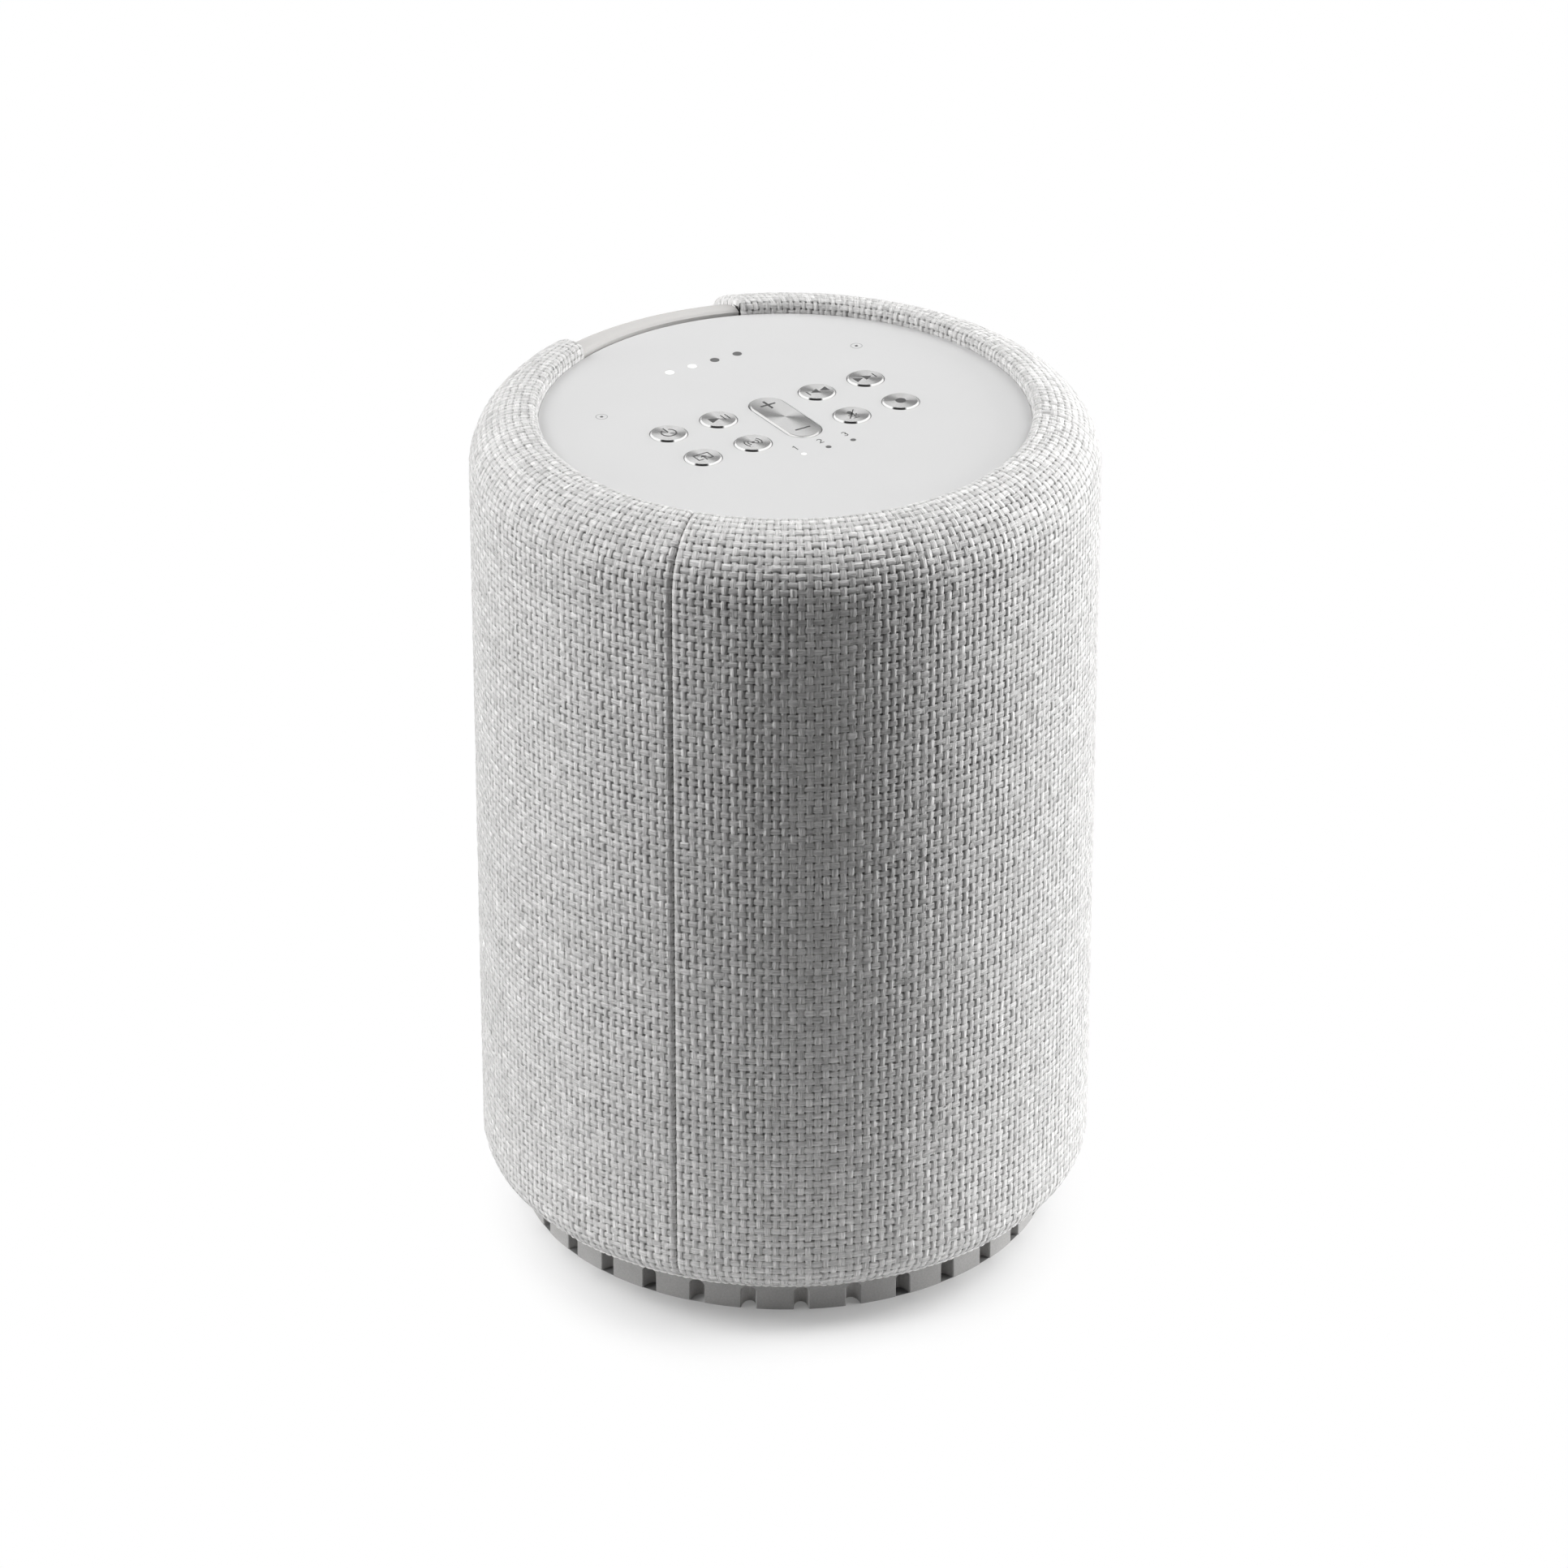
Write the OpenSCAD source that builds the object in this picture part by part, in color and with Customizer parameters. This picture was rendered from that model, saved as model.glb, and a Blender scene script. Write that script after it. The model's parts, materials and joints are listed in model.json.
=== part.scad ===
// Smart speaker: a fabric-wrapped cylinder with a metal control plate on top and a smooth
// plastic spine down the back. The origin is on the axis at the underside of the foot pad,
// +Z is up, the front faces -Y and the spine faces +Y.

/* [Body] */
// Outside radius of the fabric
body_r = 67.5; // [67:0.25:68.5]
// Height of the crest of the fabric's top roll
body_h = 190; // [188:0.5:194]
// Radius of the roll round the top edge
roll_r = 13.3; // [12.9:0.1:13.6]
// Radius of the fabric's turned-in bottom edge
hem_r = 7.7; // [7.3:0.1:8]
// Height of the fabric's lowest edge above the floor
hem_z = 8.2; // [8.1:0.1:8.8]
// Thickness of the fabric with its backing
fabric_t = 1.4; // [1:0.1:1.5]
// Half angle of the front fabric panel
front_half = 53.5; // [45:0.5:65]
// Width of the spine between the fabric ends
spine_w = 40; // [38:0.5:42]
// Depth of the spine's surface below the fabric's
spine_inset = 2; // [1.8:0.1:2.4]

/* [Foot] */
// Outside radius of the foot pad
foot_r = 58.8; // [58:0.1:59.2]
// Height of the foot pad
foot_h = 7.6; // [7:0.1:7.6]
// Number of notches round the foot
notch_count = 32; // [16:4:36]
// Turn of the ring of notches about the axis
notch_turn = 4.15; // [0:0.05:11.25]
// Width of one notch behind its rounded mouth
notch_w = 3.2; // [2:0.1:3.6]
// Height of one notch up to the crown of its arch
notch_h = 5.7; // [4:0.1:5.9]
// Depth of one notch from the outside of the foot
notch_depth = 3.3; // [2.4:0.1:3.6]
// Radius of the rounded mouth of a notch
notch_lip = 0.4; // [0.1:0.05:0.6]

/* [Controls] */
// Thickness of the control plate
plate_t = 1.5; // [1.2:0.1:1.8]
// Depth of the plate's face below the fabric's crest
plate_drop = 3; // [2.5:0.1:3.5]
// Radius of a round button
button_r = 4; // [3.6:0.1:4.3]
// Sideways pitch of the buttons
button_pitch = 12.5; // [12:0.1:13]
// Distance of each button row from the centre line
button_row = 6.8; // [6.4:0.1:7.4]
// Height that a button stands above the plate
button_proud = 0.3; // [0.2:0.05:0.4]
// Travel of a button
button_travel = 0.5; // [0.3:0.05:0.5]

/* [Drivers] */
// Height of the woofer's axis
woofer_z = 66; // [64:0.5:68]
// Height of the tweeter's axis
tweeter_z = 129.5; // [128:0.5:130]
// Height of the bass port's axis
port_z = 120; // [114:0.5:126]
// Inside radius of the bass port
port_r = 9; // [8:0.1:9]

/* [Sockets] */
// Radius of the headphone-size signal socket
aux_r = 1.8; // [1.75:0.05:1.85]
// Radius of the power socket
inlet_r = 3.1; // [2.8:0.1:3.2]

/* [Hidden] */

$fn = 96;
arc_step = 5;
eps = 0.01;

// Centre circles of the top roll and of the bottom edge
roll_c = body_r - roll_r;
roll_z = body_h - roll_r;
hem_c = body_r - hem_r;
hem_cz = hem_z + hem_r;

// The layers under the fabric
lip_t = 1.3;
lip_depth = 5.4;
hem_fold = 2.2;
grille_gap = 0.2;
grille_t = 2.2;
spine_t = 2.4;
side_gap = 0.1;
window_w = 15;
window_h = 25;
window_step = 18.5;
window_rows = 5;
window_pitch = 29.5;
window_z0 = 36;

// Heights in the control stack, from the plate down, and of the spine's inner edge beside it
plate_z = body_h - plate_drop;
rim_z = min(plate_z + 0.5, body_h - spine_inset - 0.3);
plate_r = roll_c - lip_t - 0.2;
plate_under = plate_z - plate_t;
tape_t = 0.3;
deck_top = plate_under - tape_t;
deck_r = plate_r - 0.1;
deck_wall = 2.4;
deck_floor_t = 2;
deck_floor = plate_z - 16;
board_t = 1.6;
board_z = deck_floor + deck_floor_t + 4;
board_top = board_z + board_t;
board_r = 47.6;
board_boss = 42;
flange_t = 0.8;
flange_extra = 1;
button_gap = 0.15;
button_top = plate_z + button_proud;
chamfer = 0.35;
stem_r = 1.6;
stem_end = plate_z - 4.8;
switch_w = 4.5;
switch_h = 2.2;
plunger_r = 1.1;
plunger_top = stem_end - button_travel - 0.1;

// The volume rocker and its cradle
rocker_gap = 0.2;
rocker_tilt_room = 0.5;
pin_z = plate_z - 3.8;
pin_r = 0.8;
pin_gap = 0.05;
cradle_x = 7.5;
cradle_w = 2;
cradle_d = 4;

// Lights and microphones
status_y = 32.4;
status_pitch = 5.76;
status_r = 1;
source_y = -16.8;
source_pitch = 6.2;
source_r = 0.6;
pipe_gap = 0.05;
mic_x = 32.5;
mic_y = 21.7;
mic_hole_r = 0.4;

// The cabinet and the bay above it
base_r = hem_c - hem_fold - 0.4;
base_t = 4;
cab_z = foot_h + base_t;
cab_r = body_r - 9.5;
cab_wall = 3;
baffle_y = -38;
baffle_t = 4;
cab_rear = 43;
gasket_t = 0.8;
lid_t = 3;
lid_top = 149.8;
cab_top = lid_top - lid_t - gasket_t;
main_z = lid_top + 6.2;
main_r = 44.5;
main_post = 38;
leg_r = 3.5;
leg_at = deck_r - leg_r - 0.6;
leg_angles = [30, 150, 210, 330];
corner_boss = [[36, -28], [-36, -28], [33, 35], [-33, 35]];
wire_r = 1;
wires = [[21, 24], [25, 24], [3, -10], [-3, -10]];

// Fasteners
m3_r = 1.5;
m3_head_r = 2.75;
m3_head_h = 2;
m2_r = 1;
m2_head_r = 1.9;
m2_head_h = 1.3;
screw_gap = 0.05;

// The woofer, measured back from its flange's rear face
woofer_y = baffle_y - gasket_t;
flange_r = 43.4;
woofer_screw_c = 40.8;
ledge_r = 38;
coil_r = 12.8;
coil_t = 0.8;
cone_r = 31.2;
basket_h = 24;

// The tweeter
tweeter_r = 18;
tweeter_cut = 14;
tweeter_screw_c = 16.3;

// The socket pocket in the spine
pocket_w = 30;
pocket_z0 = 22;
pocket_h = 28;
pocket_wall = 1.6;
pocket_y = 60;
socket_band = [pocket_z0 - 5, pocket_z0 + pocket_h + 5];
port_band = [port_z - 17, port_z + 17];
socket_z = 30;
inlet_x = -7.5;
aux_x = 7;
reset_z = 43;
reset_r = 1.4;
reset_gap = 0.08;
input_board_y = cab_rear + 0.6;
input_board_t = 1.2;
jack_y = input_board_y + input_board_t;
aux_depth = 14.5;
inlet_depth = 10;
inlet_pin_r = 1.2;

// ---------------------------------------------------------------- shared shapes

// Section line of the body at a depth below the fabric's surface, from the hem up
function skin(d) = concat(
    [for (a = [-90 : arc_step : 0])
        [hem_c + (hem_r - d) * cos(a), hem_cz + (hem_r - d) * sin(a)]],
    [for (a = [0 : arc_step : 90])
        [roll_c + (roll_r - d) * cos(a), roll_z + (roll_r - d) * sin(a)]]);

function backwards(v) = [for (i = [len(v) - 1 : -1 : 0]) v[i]];

// Solid of revolution between two depths, with any points added at its ends
module shell(d_out, d_in, foot = [], head = [])
    rotate_extrude()
        polygon(concat(foot, skin(d_out), head, backwards(skin(d_in))));

module tube(r_out, r_in, h)
    difference() {
        cylinder(r = r_out, h = h);
        translate([0, 0, -1])
            cylinder(r = r_in, h = h + 2);
    }

module ring_of(count, r, start = 0)
    for (i = [0 : count - 1])
        rotate([0, 0, start + i * 360 / count])
            translate([r, 0, 0])
                children();

// Pie slice about the axis, from one angle to another less than a half turn on
module slice(a0, a1)
    linear_extrude(body_h + 10)
        polygon(concat([[0, 0]],
            [for (i = [0 : 4]) 2 * body_r * [cos(a0 + i * (a1 - a0) / 4),
                                             sin(a0 + i * (a1 - a0) / 4)]]));

// Block that holds the spine's width at the back, grown sideways by g
module spine_block(g)
    translate([-spine_w / 2 - g, 20, 0])
        cube([spine_w + 2 * g, body_r, body_h + 10]);

// Pan-head screw with a cross recess, head up, its seat at z = 0
module screw(r, head_r, head_h, length)
    difference() {
        union() {
            cylinder(r = head_r, h = head_h);
            translate([0, 0, -length])
                cylinder(r = r, h = length + eps);
        }
        for (a = [0, 90])
            rotate([0, 0, a])
                translate([-head_r * 0.6, -head_r * 0.12, head_h * 0.45])
                    cube([head_r * 1.2, head_r * 0.24, head_h]);
    }

// Outline of the cabinet, drawn in by a wall thickness w
module cabinet_outline(w)
    intersection() {
        circle(r = cab_r - w);
        translate([-cab_r, baffle_y + (w > 0 ? baffle_t : 0)])
            square([2 * cab_r, cab_rear - baffle_y - w - (w > 0 ? baffle_t : 0)]);
    }

// Turns a shape's +Z to point back from the baffle
module facing(y, z)
    translate([0, y, z])
        rotate([-90, 0, 0])
            children();

module pill(w, l, h)
    linear_extrude(h)
        union() {
            square([w, l - w], center = true);
            for (s = [-1, 1])
                translate([0, s * (l - w) / 2])
                    circle(d = w);
        }

// ---------------------------------------------------------------- fabric and shells

module fabric_skin()
    shell(0, fabric_t,
        foot = [[hem_c - hem_fold, hem_z + fabric_t], [hem_c - hem_fold, hem_z]],
        head = concat(
            [for (a = [90 + arc_step * 3 : arc_step * 3 : 180])
                [roll_c + lip_t * cos(a), body_h - lip_t + lip_t * sin(a)]],
            [[roll_c - lip_t, body_h - lip_depth], [roll_c, body_h - lip_depth]]));

module fabric_front()
    color([0.86, 0.86, 0.85])
        intersection() {
            fabric_skin();
            slice(-90 - front_half, -90 + front_half);
        }

module fabric_side(a0, a1)
    color([0.83, 0.83, 0.82])
        difference() {
            intersection() {
                fabric_skin();
                slice(a0, a1);
            }
            spine_block(side_gap);
        }

module fabric_left() fabric_side(90, 270 - front_half);

module fabric_right() fabric_side(-90 + front_half, 90);

module grille_frame()
    color([0.2, 0.2, 0.21])
        difference() {
            shell(fabric_t + grille_gap, fabric_t + grille_gap + grille_t);
            spine_block(side_gap);
            for (i = [0 : window_rows - 1])
                for (a = [-8 * window_step : window_step : 8 * window_step])
                    rotate([0, 0, a - 90])
                        translate([body_r, 0, window_z0 + i * window_pitch])
                            cube([20, window_w, window_h], center = true);
        }

// The band's skin between two heights, less a hair at each joint
module spine_skin(z0, z1)
    intersection() {
        shell(spine_inset, spine_inset + spine_t,
            head = [[roll_c - 0.5, (body_h - spine_inset) * 0.7 + rim_z * 0.3],
                [roll_c - 1, rim_z],
                [roll_c - 1, body_h - lip_depth],
                [roll_c, body_h - lip_depth]]);
        spine_block(-side_gap);
        translate([-spine_w, 0, z0 + side_gap / 2])
            cube([2 * spine_w, 2 * body_r, z1 - z0 - side_gap]);
    }

module spine_panel()
    color([0.84, 0.83, 0.82]) {
        spine_skin(0, socket_band[0]);
        spine_skin(socket_band[1], port_band[0]);
        spine_skin(port_band[1], body_h);
    }

// Part of the band that holds the recess for the sockets
module socket_panel()
    color([0.84, 0.83, 0.82])
        difference() {
            union() {
                spine_skin(socket_band[0], socket_band[1]);
                intersection() {
                    translate([-pocket_w / 2 - pocket_wall, pocket_y - pocket_wall,
                               pocket_z0 - pocket_wall])
                        cube([pocket_w + 2 * pocket_wall, 10, pocket_h + 2 * pocket_wall]);
                    cylinder(r = body_r - spine_inset - spine_t / 2, h = body_h);
                }
            }
            translate([-pocket_w / 2, pocket_y, pocket_z0])
                cube([pocket_w, 20, pocket_h]);
            socket_hole(inlet_x, socket_z, inlet_r + 1.3);
            socket_hole(aux_x, socket_z, aux_r + 1.5);
            socket_hole(0, reset_z, reset_r + reset_gap);
        }

module socket_hole(x, z, r)
    translate([x, 0, 0])
        facing(pocket_y - 5, z)
            cylinder(r = r, h = 10);

// Part of the band round the mouth of the bass port
module port_panel()
    color([0.84, 0.83, 0.82])
        difference() {
            spine_skin(port_band[0], port_band[1]);
            facing(pocket_y - 10, port_z)
                cylinder(r = port_r + 3.7, h = 30);
        }

// Slot with an arched crown, half an ellipse in plan, its rounded mouth at the origin facing +X
module notch() {
    mouth = notch_w / 2 + notch_lip;
    scoop = [for (a = [10 : 10 : 90])
        [-notch_lip - (notch_depth - notch_lip) * cos(a), notch_w / 2 * sin(a)]];
    lip = [for (a = [15 : 15 : 90])
        [notch_lip * (sin(a) - 1), mouth - notch_lip * cos(a)]];
    side = concat(scoop, lip, [[1, mouth]]);
    arch = [for (a = [0 : 10 : 180]) [mouth * cos(a), notch_h - mouth + mouth * sin(a)]];
    intersection() {
        translate([0, 0, -1])
            linear_extrude(notch_h + 2)
                polygon(concat([[-notch_depth, 0]], side, [for (p = backwards(side)) [p[0], -p[1]]]));
        translate([-notch_depth - 1, 0, 0])
            rotate([90, 0, 90])
                linear_extrude(notch_depth + 3)
                    polygon(concat([[-mouth, -2], [mouth, -2]], arch));
    }
}

module foot_pad()
    color([0.55, 0.54, 0.53])
        difference() {
            cylinder(r = foot_r, h = foot_h);
            // Shallow groove that parts the gripping rim from the middle
            translate([0, 0, -eps])
                difference() {
                    cylinder(r = foot_r - 10, h = 1);
                    translate([0, 0, -1])
                        cylinder(r = foot_r - 13, h = 3);
                }
            ring_of(notch_count, foot_r, notch_turn)
                notch();
        }

module base_plate()
    color([0.16, 0.16, 0.17])
        difference() {
            translate([0, 0, foot_h])
                cylinder(r = base_r, h = base_t);
            ring_of(4, 45, 45) {
                translate([0, 0, foot_h - 1])
                    cylinder(r = m3_head_r + 0.3, h = m3_head_h + 1.2);
                cylinder(r = m3_r + 0.2, h = 30);
            }
        }

module base_screws()
    color("silver")
        ring_of(4, 45, 45)
            translate([0, 0, foot_h + m3_head_h + 0.2])
                rotate([180, 0, 0])
                    screw(m3_r, m3_head_r, m3_head_h, 4.6);

// ---------------------------------------------------------------- controls

module button_hole_places()
    for (x = [-2, -1, 1, 2], y = [-1, 1])
        translate([x * button_pitch, y * button_row, 0])
            children();

module top_plate()
    color([0.89, 0.89, 0.89])
        difference() {
            union() {
                translate([0, 0, plate_under])
                    cylinder(r = plate_r, h = plate_t - 0.2);
                translate([0, 0, plate_z - 0.2])
                    cylinder(r1 = plate_r, r2 = plate_r - 0.2, h = 0.2);
            }
            button_hole_places()
                translate([0, 0, plate_under - 1])
                    cylinder(r = button_r + button_gap, h = plate_t + 2);
            translate([0, 0, plate_under - 1])
                pill(2 * (button_r + rocker_gap), 2 * (button_row + button_r + rocker_gap),
                    plate_t + 2);
            status_places()
                translate([0, 0, plate_under - 1])
                    cylinder(r = status_r + pipe_gap, h = plate_t + 2);
            source_places()
                translate([0, 0, plate_under - 1])
                    cylinder(r = source_r + pipe_gap, h = plate_t + 2);
            for (s = [-1, 1])
                translate([s * mic_x, mic_y, plate_under - 1])
                    cylinder(r = mic_hole_r, h = plate_t + 2);
        }

module plate_adhesive()
    color([0.3, 0.3, 0.3])
        translate([0, 0, deck_top])
            tube(deck_r - 0.4, deck_r - deck_wall + 0.2, tape_t);

// One round button at its place, by column and row
module round_button(col, row)
    color([0.8, 0.8, 0.8])
        translate([col * button_pitch, row * button_row, 0]) {
            translate([0, 0, button_top - chamfer])
                cylinder(r1 = button_r, r2 = button_r - chamfer, h = chamfer);
            translate([0, 0, plate_under - 0.9])
                cylinder(r = button_r, h = button_top - chamfer - plate_under + 0.9);
            translate([0, 0, plate_under - 0.1 - flange_t])
                cylinder(r = button_r + flange_extra, h = flange_t);
            translate([0, 0, stem_end])
                cylinder(r = stem_r, h = plate_under - 0.1 - stem_end - flange_t / 2);
        }

module button_power() round_button(-2, 1);

module button_play() round_button(-1, 1);

module button_previous() round_button(1, 1);

module button_next() round_button(2, 1);

module button_cast() round_button(-2, -1);

module button_wireless() round_button(-1, -1);

module button_mic_mute() round_button(1, -1);

module button_favorite() round_button(2, -1);

module volume_rocker()
    color([0.8, 0.8, 0.8]) {
        translate([0, 0, button_top - chamfer])
            pill(2 * (button_r - chamfer), 2 * (button_row + button_r - chamfer), chamfer);
        translate([0, 0, plate_under - rocker_tilt_room - 0.4])
            pill(2 * button_r, 2 * (button_row + button_r),
                button_top - chamfer - plate_under + rocker_tilt_room + 0.4);
        translate([0, 0, plate_under - rocker_tilt_room - flange_t])
            pill(2 * (button_r + flange_extra), 2 * (button_row + button_r + flange_extra),
                flange_t);
        for (s = [-1, 1])
            translate([0, s * button_row, stem_end])
                cylinder(r = stem_r, h = plate_under - rocker_tilt_room - stem_end - 0.4);
        translate([-3, -1.5, pin_z - pin_r])
            cube([6, 3, plate_under - rocker_tilt_room - pin_z + pin_r - 0.4]);
        translate([-cradle_x - cradle_w / 2 - 0.2, 0, pin_z])
            rotate([0, 90, 0])
                cylinder(r = pin_r, h = 2 * cradle_x + cradle_w + 0.4);
    }

module status_places()
    for (i = [-1.5 : 1 : 1.5])
        translate([i * status_pitch, status_y, 0])
            children();

module source_places()
    for (i = [-1 : 1])
        translate([i * source_pitch, source_y, 0])
            children();

module light_pipe(r)
    translate([0, 0, board_top])
        cylinder(r = r, h = plate_z - board_top);

module light_pipes()
    color([0.95, 0.95, 0.95]) {
        status_places()
            light_pipe(status_r);
        source_places()
            light_pipe(source_r);
    }

module top_deck()
    color([0.17, 0.17, 0.18])
        difference() {
            union() {
                translate([0, 0, deck_floor])
                    tube(deck_r, deck_r - deck_wall, deck_top - deck_floor);
                translate([0, 0, deck_floor])
                    cylinder(r = deck_r - deck_wall / 2, h = deck_floor_t);
                ring_of(4, board_boss, 45)
                    translate([0, 0, deck_floor + eps])
                        cylinder(r = 3, h = board_z - deck_floor - eps);
                for (a = leg_angles)
                    rotate([0, 0, a])
                        translate([leg_at, 0, lid_top])
                            cylinder(r = leg_r, h = deck_floor - lid_top + 1);
                for (s = [-1, 1])
                    translate([s * cradle_x - cradle_w / 2, -cradle_d / 2, deck_floor + 1])
                        cube([cradle_w, cradle_d, pin_z + 1.8 - deck_floor - 1]);
            }
            ring_of(4, board_boss, 45)
                translate([0, 0, deck_floor - 1])
                    cylinder(r = m2_r + screw_gap, h = 20);
            translate([-20, 0, pin_z])
                rotate([0, 90, 0])
                    cylinder(r = pin_r + pin_gap, h = 40);
            translate([-6, -41.5, deck_floor - 1])
                cube([12, 3, deck_floor_t + 2]);
        }

module control_board()
    color([0.05, 0.25, 0.12])
        difference() {
            translate([0, 0, board_z])
                cylinder(r = board_r, h = board_t);
            ring_of(4, board_boss, 45)
                cylinder(r = m2_r + 0.2, h = body_h);
            for (s = [-1, 1])
                translate([s * cradle_x - cradle_w / 2 - 0.3, -cradle_d / 2 - 0.3, board_z - 1])
                    cube([cradle_w + 0.6, cradle_d + 0.6, board_t + 2]);
        }

module tact_switch()
    union() {
        translate([-switch_w / 2, -switch_w / 2, board_top])
            cube([switch_w, switch_w, switch_h]);
        translate([0, 0, board_top])
            cylinder(r = plunger_r, h = plunger_top - board_top);
    }

module tact_switches()
    color([0.12, 0.12, 0.12]) {
        button_hole_places()
            tact_switch();
        for (s = [-1, 1])
            translate([0, s * button_row, 0])
                tact_switch();
    }

module microphones()
    color("silver")
        for (s = [-1, 1])
            translate([s * mic_x - 1.75, mic_y - 1.3, board_top])
                cube([3.5, 2.6, 1.1]);

module mic_gaskets()
    color([0.1, 0.1, 0.1])
        for (s = [-1, 1])
            translate([s * mic_x, mic_y, board_top + 1.1])
                tube(2, 0.6, plate_under - board_top - 1.1);

module board_screws()
    color("silver") {
        ring_of(4, board_boss, 45)
            translate([0, 0, board_top])
                screw(m2_r, m2_head_r, m2_head_h, 5);
        ring_of(4, main_post, 45)
            translate([0, 0, main_z + board_t])
                screw(m2_r, m2_head_r, m2_head_h, 5);
    }

module ribbon_cable()
    color([0.85, 0.85, 0.82])
        translate([-5, -40.25, main_z + board_t])
            cube([10, 0.5, board_z - main_z - board_t]);

// ---------------------------------------------------------------- cabinet

module cabinet()
    color([0.13, 0.13, 0.14])
        difference() {
            union() {
                translate([0, 0, cab_z])
                    difference() {
                        linear_extrude(cab_top - cab_z)
                            cabinet_outline(0);
                        translate([0, 0, cab_wall])
                            linear_extrude(cab_top - cab_z)
                                cabinet_outline(cab_wall);
                    }
                intersection() {
                    translate([0, 0, cab_top - 16])
                        linear_extrude(16)
                            cabinet_outline(1);
                    for (p = corner_boss)
                        translate([p.x, p.y, cab_top - 16])
                            cylinder(r = 5.5, h = 16);
                }
            }
            for (p = corner_boss)
                translate([p.x, p.y, cab_top - 12])
                    cylinder(r = m3_r + screw_gap, h = 20);
            ring_of(4, 45, 45)
                cylinder(r = m3_r + screw_gap, h = 30);
            facing(baffle_y - 1, woofer_z)
                cylinder(r = 37.5, h = baffle_t + 2);
            facing(baffle_y - 1, woofer_z)
                ring_of(4, woofer_screw_c, 45)
                    cylinder(r = m2_r + screw_gap, h = baffle_t + 2);
            facing(baffle_y - 1, tweeter_z)
                cylinder(r = tweeter_cut, h = baffle_t + 2);
            facing(baffle_y - 1, tweeter_z)
                ring_of(3, tweeter_screw_c, 90)
                    cylinder(r = m2_r + screw_gap, h = baffle_t + 2);
            facing(cab_rear - cab_wall - 1, port_z)
                cylinder(r = port_r + 2, h = cab_wall + 2);
        }

module lid_holes(extra)
    for (p = corner_boss)
        translate([p.x, p.y, cab_top - 1])
            cylinder(r = m3_r + extra, h = 10);

module cabinet_lid()
    color([0.13, 0.13, 0.14])
        difference() {
            union() {
                translate([0, 0, lid_top - lid_t])
                    linear_extrude(lid_t)
                        cabinet_outline(0);
                ring_of(4, main_post, 45)
                    translate([0, 0, lid_top - 1])
                        cylinder(r = 3, h = main_z - lid_top + 1);
            }
            lid_holes(0.2);
            ring_of(4, main_post, 45)
                translate([0, 0, lid_top + 1])
                    cylinder(r = m2_r + screw_gap, h = 10);
            for (w = wires)
                translate([w.x, w.y, cab_top])
                    cylinder(r = wire_r + 0.2, h = 10);
        }

module cabinet_gasket()
    color([0.08, 0.08, 0.08])
        difference() {
            translate([0, 0, cab_top])
                linear_extrude(gasket_t)
                    difference() {
                        cabinet_outline(0);
                        cabinet_outline(cab_wall);
                    }
            lid_holes(0.2);
        }

module cabinet_screws()
    color("silver")
        for (p = corner_boss)
            translate([p.x, p.y, lid_top])
                screw(m3_r, m3_head_r, m3_head_h, 12);

module damping_wool()
    color([0.92, 0.92, 0.9])
        translate([0, 0, cab_z + cab_wall + 1])
            linear_extrude(9)
                cabinet_outline(cab_wall + 6);

module port_tube()
    color([0.1, 0.1, 0.1])
        facing(4, port_z)
            rotate_extrude()
                polygon([[port_r, 2], [port_r + 0.8, 0], [port_r + 1.95, 0],
                    [port_r + 1.95, 55], [port_r + 3.6, 55], [port_r + 3.6, 59],
                    [port_r + 2, 59], [port_r + 0.6, 58], [port_r, 56]]);

// ---------------------------------------------------------------- woofer

module woofer_basket()
    color([0.15, 0.15, 0.16])
        facing(woofer_y, woofer_z)
            difference() {
                union() {
                    rotate_extrude()
                        polygon([[36, -1.2], [ledge_r, -1.2], [ledge_r, -2.4],
                            [flange_r - 0.4, -2.4], [flange_r, -2], [flange_r, 0], [36.6, 0],
                            [26, basket_h], [26, basket_h + 1.6], [coil_r + 0.4, basket_h + 1.6],
                            [coil_r + 0.4, basket_h], [24.5, basket_h], [27, 17.6],
                            [25.5, 17.6], [25.5, 16.6], [28.4, 16.6], [35.1, 0.6], [36, 0]]);
                    rotate([0, 0, -45])
                        translate([24, -7, basket_h - 3])
                            cube([9, 14, 3]);
                }
                ring_of(4, woofer_screw_c, 45)
                    translate([0, 0, -5])
                        cylinder(r = m2_r + screw_gap, h = 10);
                ring_of(6, 20)
                    translate([0, -5, 4])
                        cube([20, 10, 10]);
            }

module woofer_gasket()
    color([0.06, 0.06, 0.06])
        facing(woofer_y, woofer_z)
            difference() {
                tube(flange_r, ledge_r + 0.5, gasket_t);
                ring_of(4, woofer_screw_c, 45)
                    translate([0, 0, -1])
                        cylinder(r = m2_r + screw_gap, h = 3);
            }

module woofer_top_plate()
    color([0.6, 0.6, 0.62])
        facing(woofer_y + basket_h + 1.6, woofer_z)
            tube(25, coil_r + 0.4, 4);

module woofer_magnet()
    color([0.2, 0.2, 0.22])
        facing(woofer_y + basket_h + 5.6, woofer_z)
            tube(28.5, 16, 11);

module woofer_yoke()
    color([0.6, 0.6, 0.62])
        facing(woofer_y + basket_h + 1.6, woofer_z) {
            translate([0, 0, 15])
                cylinder(r = 25, h = 4);
            cylinder(r = coil_r - coil_t - 0.4, h = 15 + eps);
        }

module voice_coil()
    color([0.72, 0.45, 0.2])
        facing(woofer_y + 10, woofer_z)
            tube(coil_r, coil_r - coil_t, 19);

module woofer_spider()
    color([0.75, 0.6, 0.3])
        facing(woofer_y + 16.1, woofer_z)
            tube(28, coil_r + 0.1, 0.5);

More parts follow.
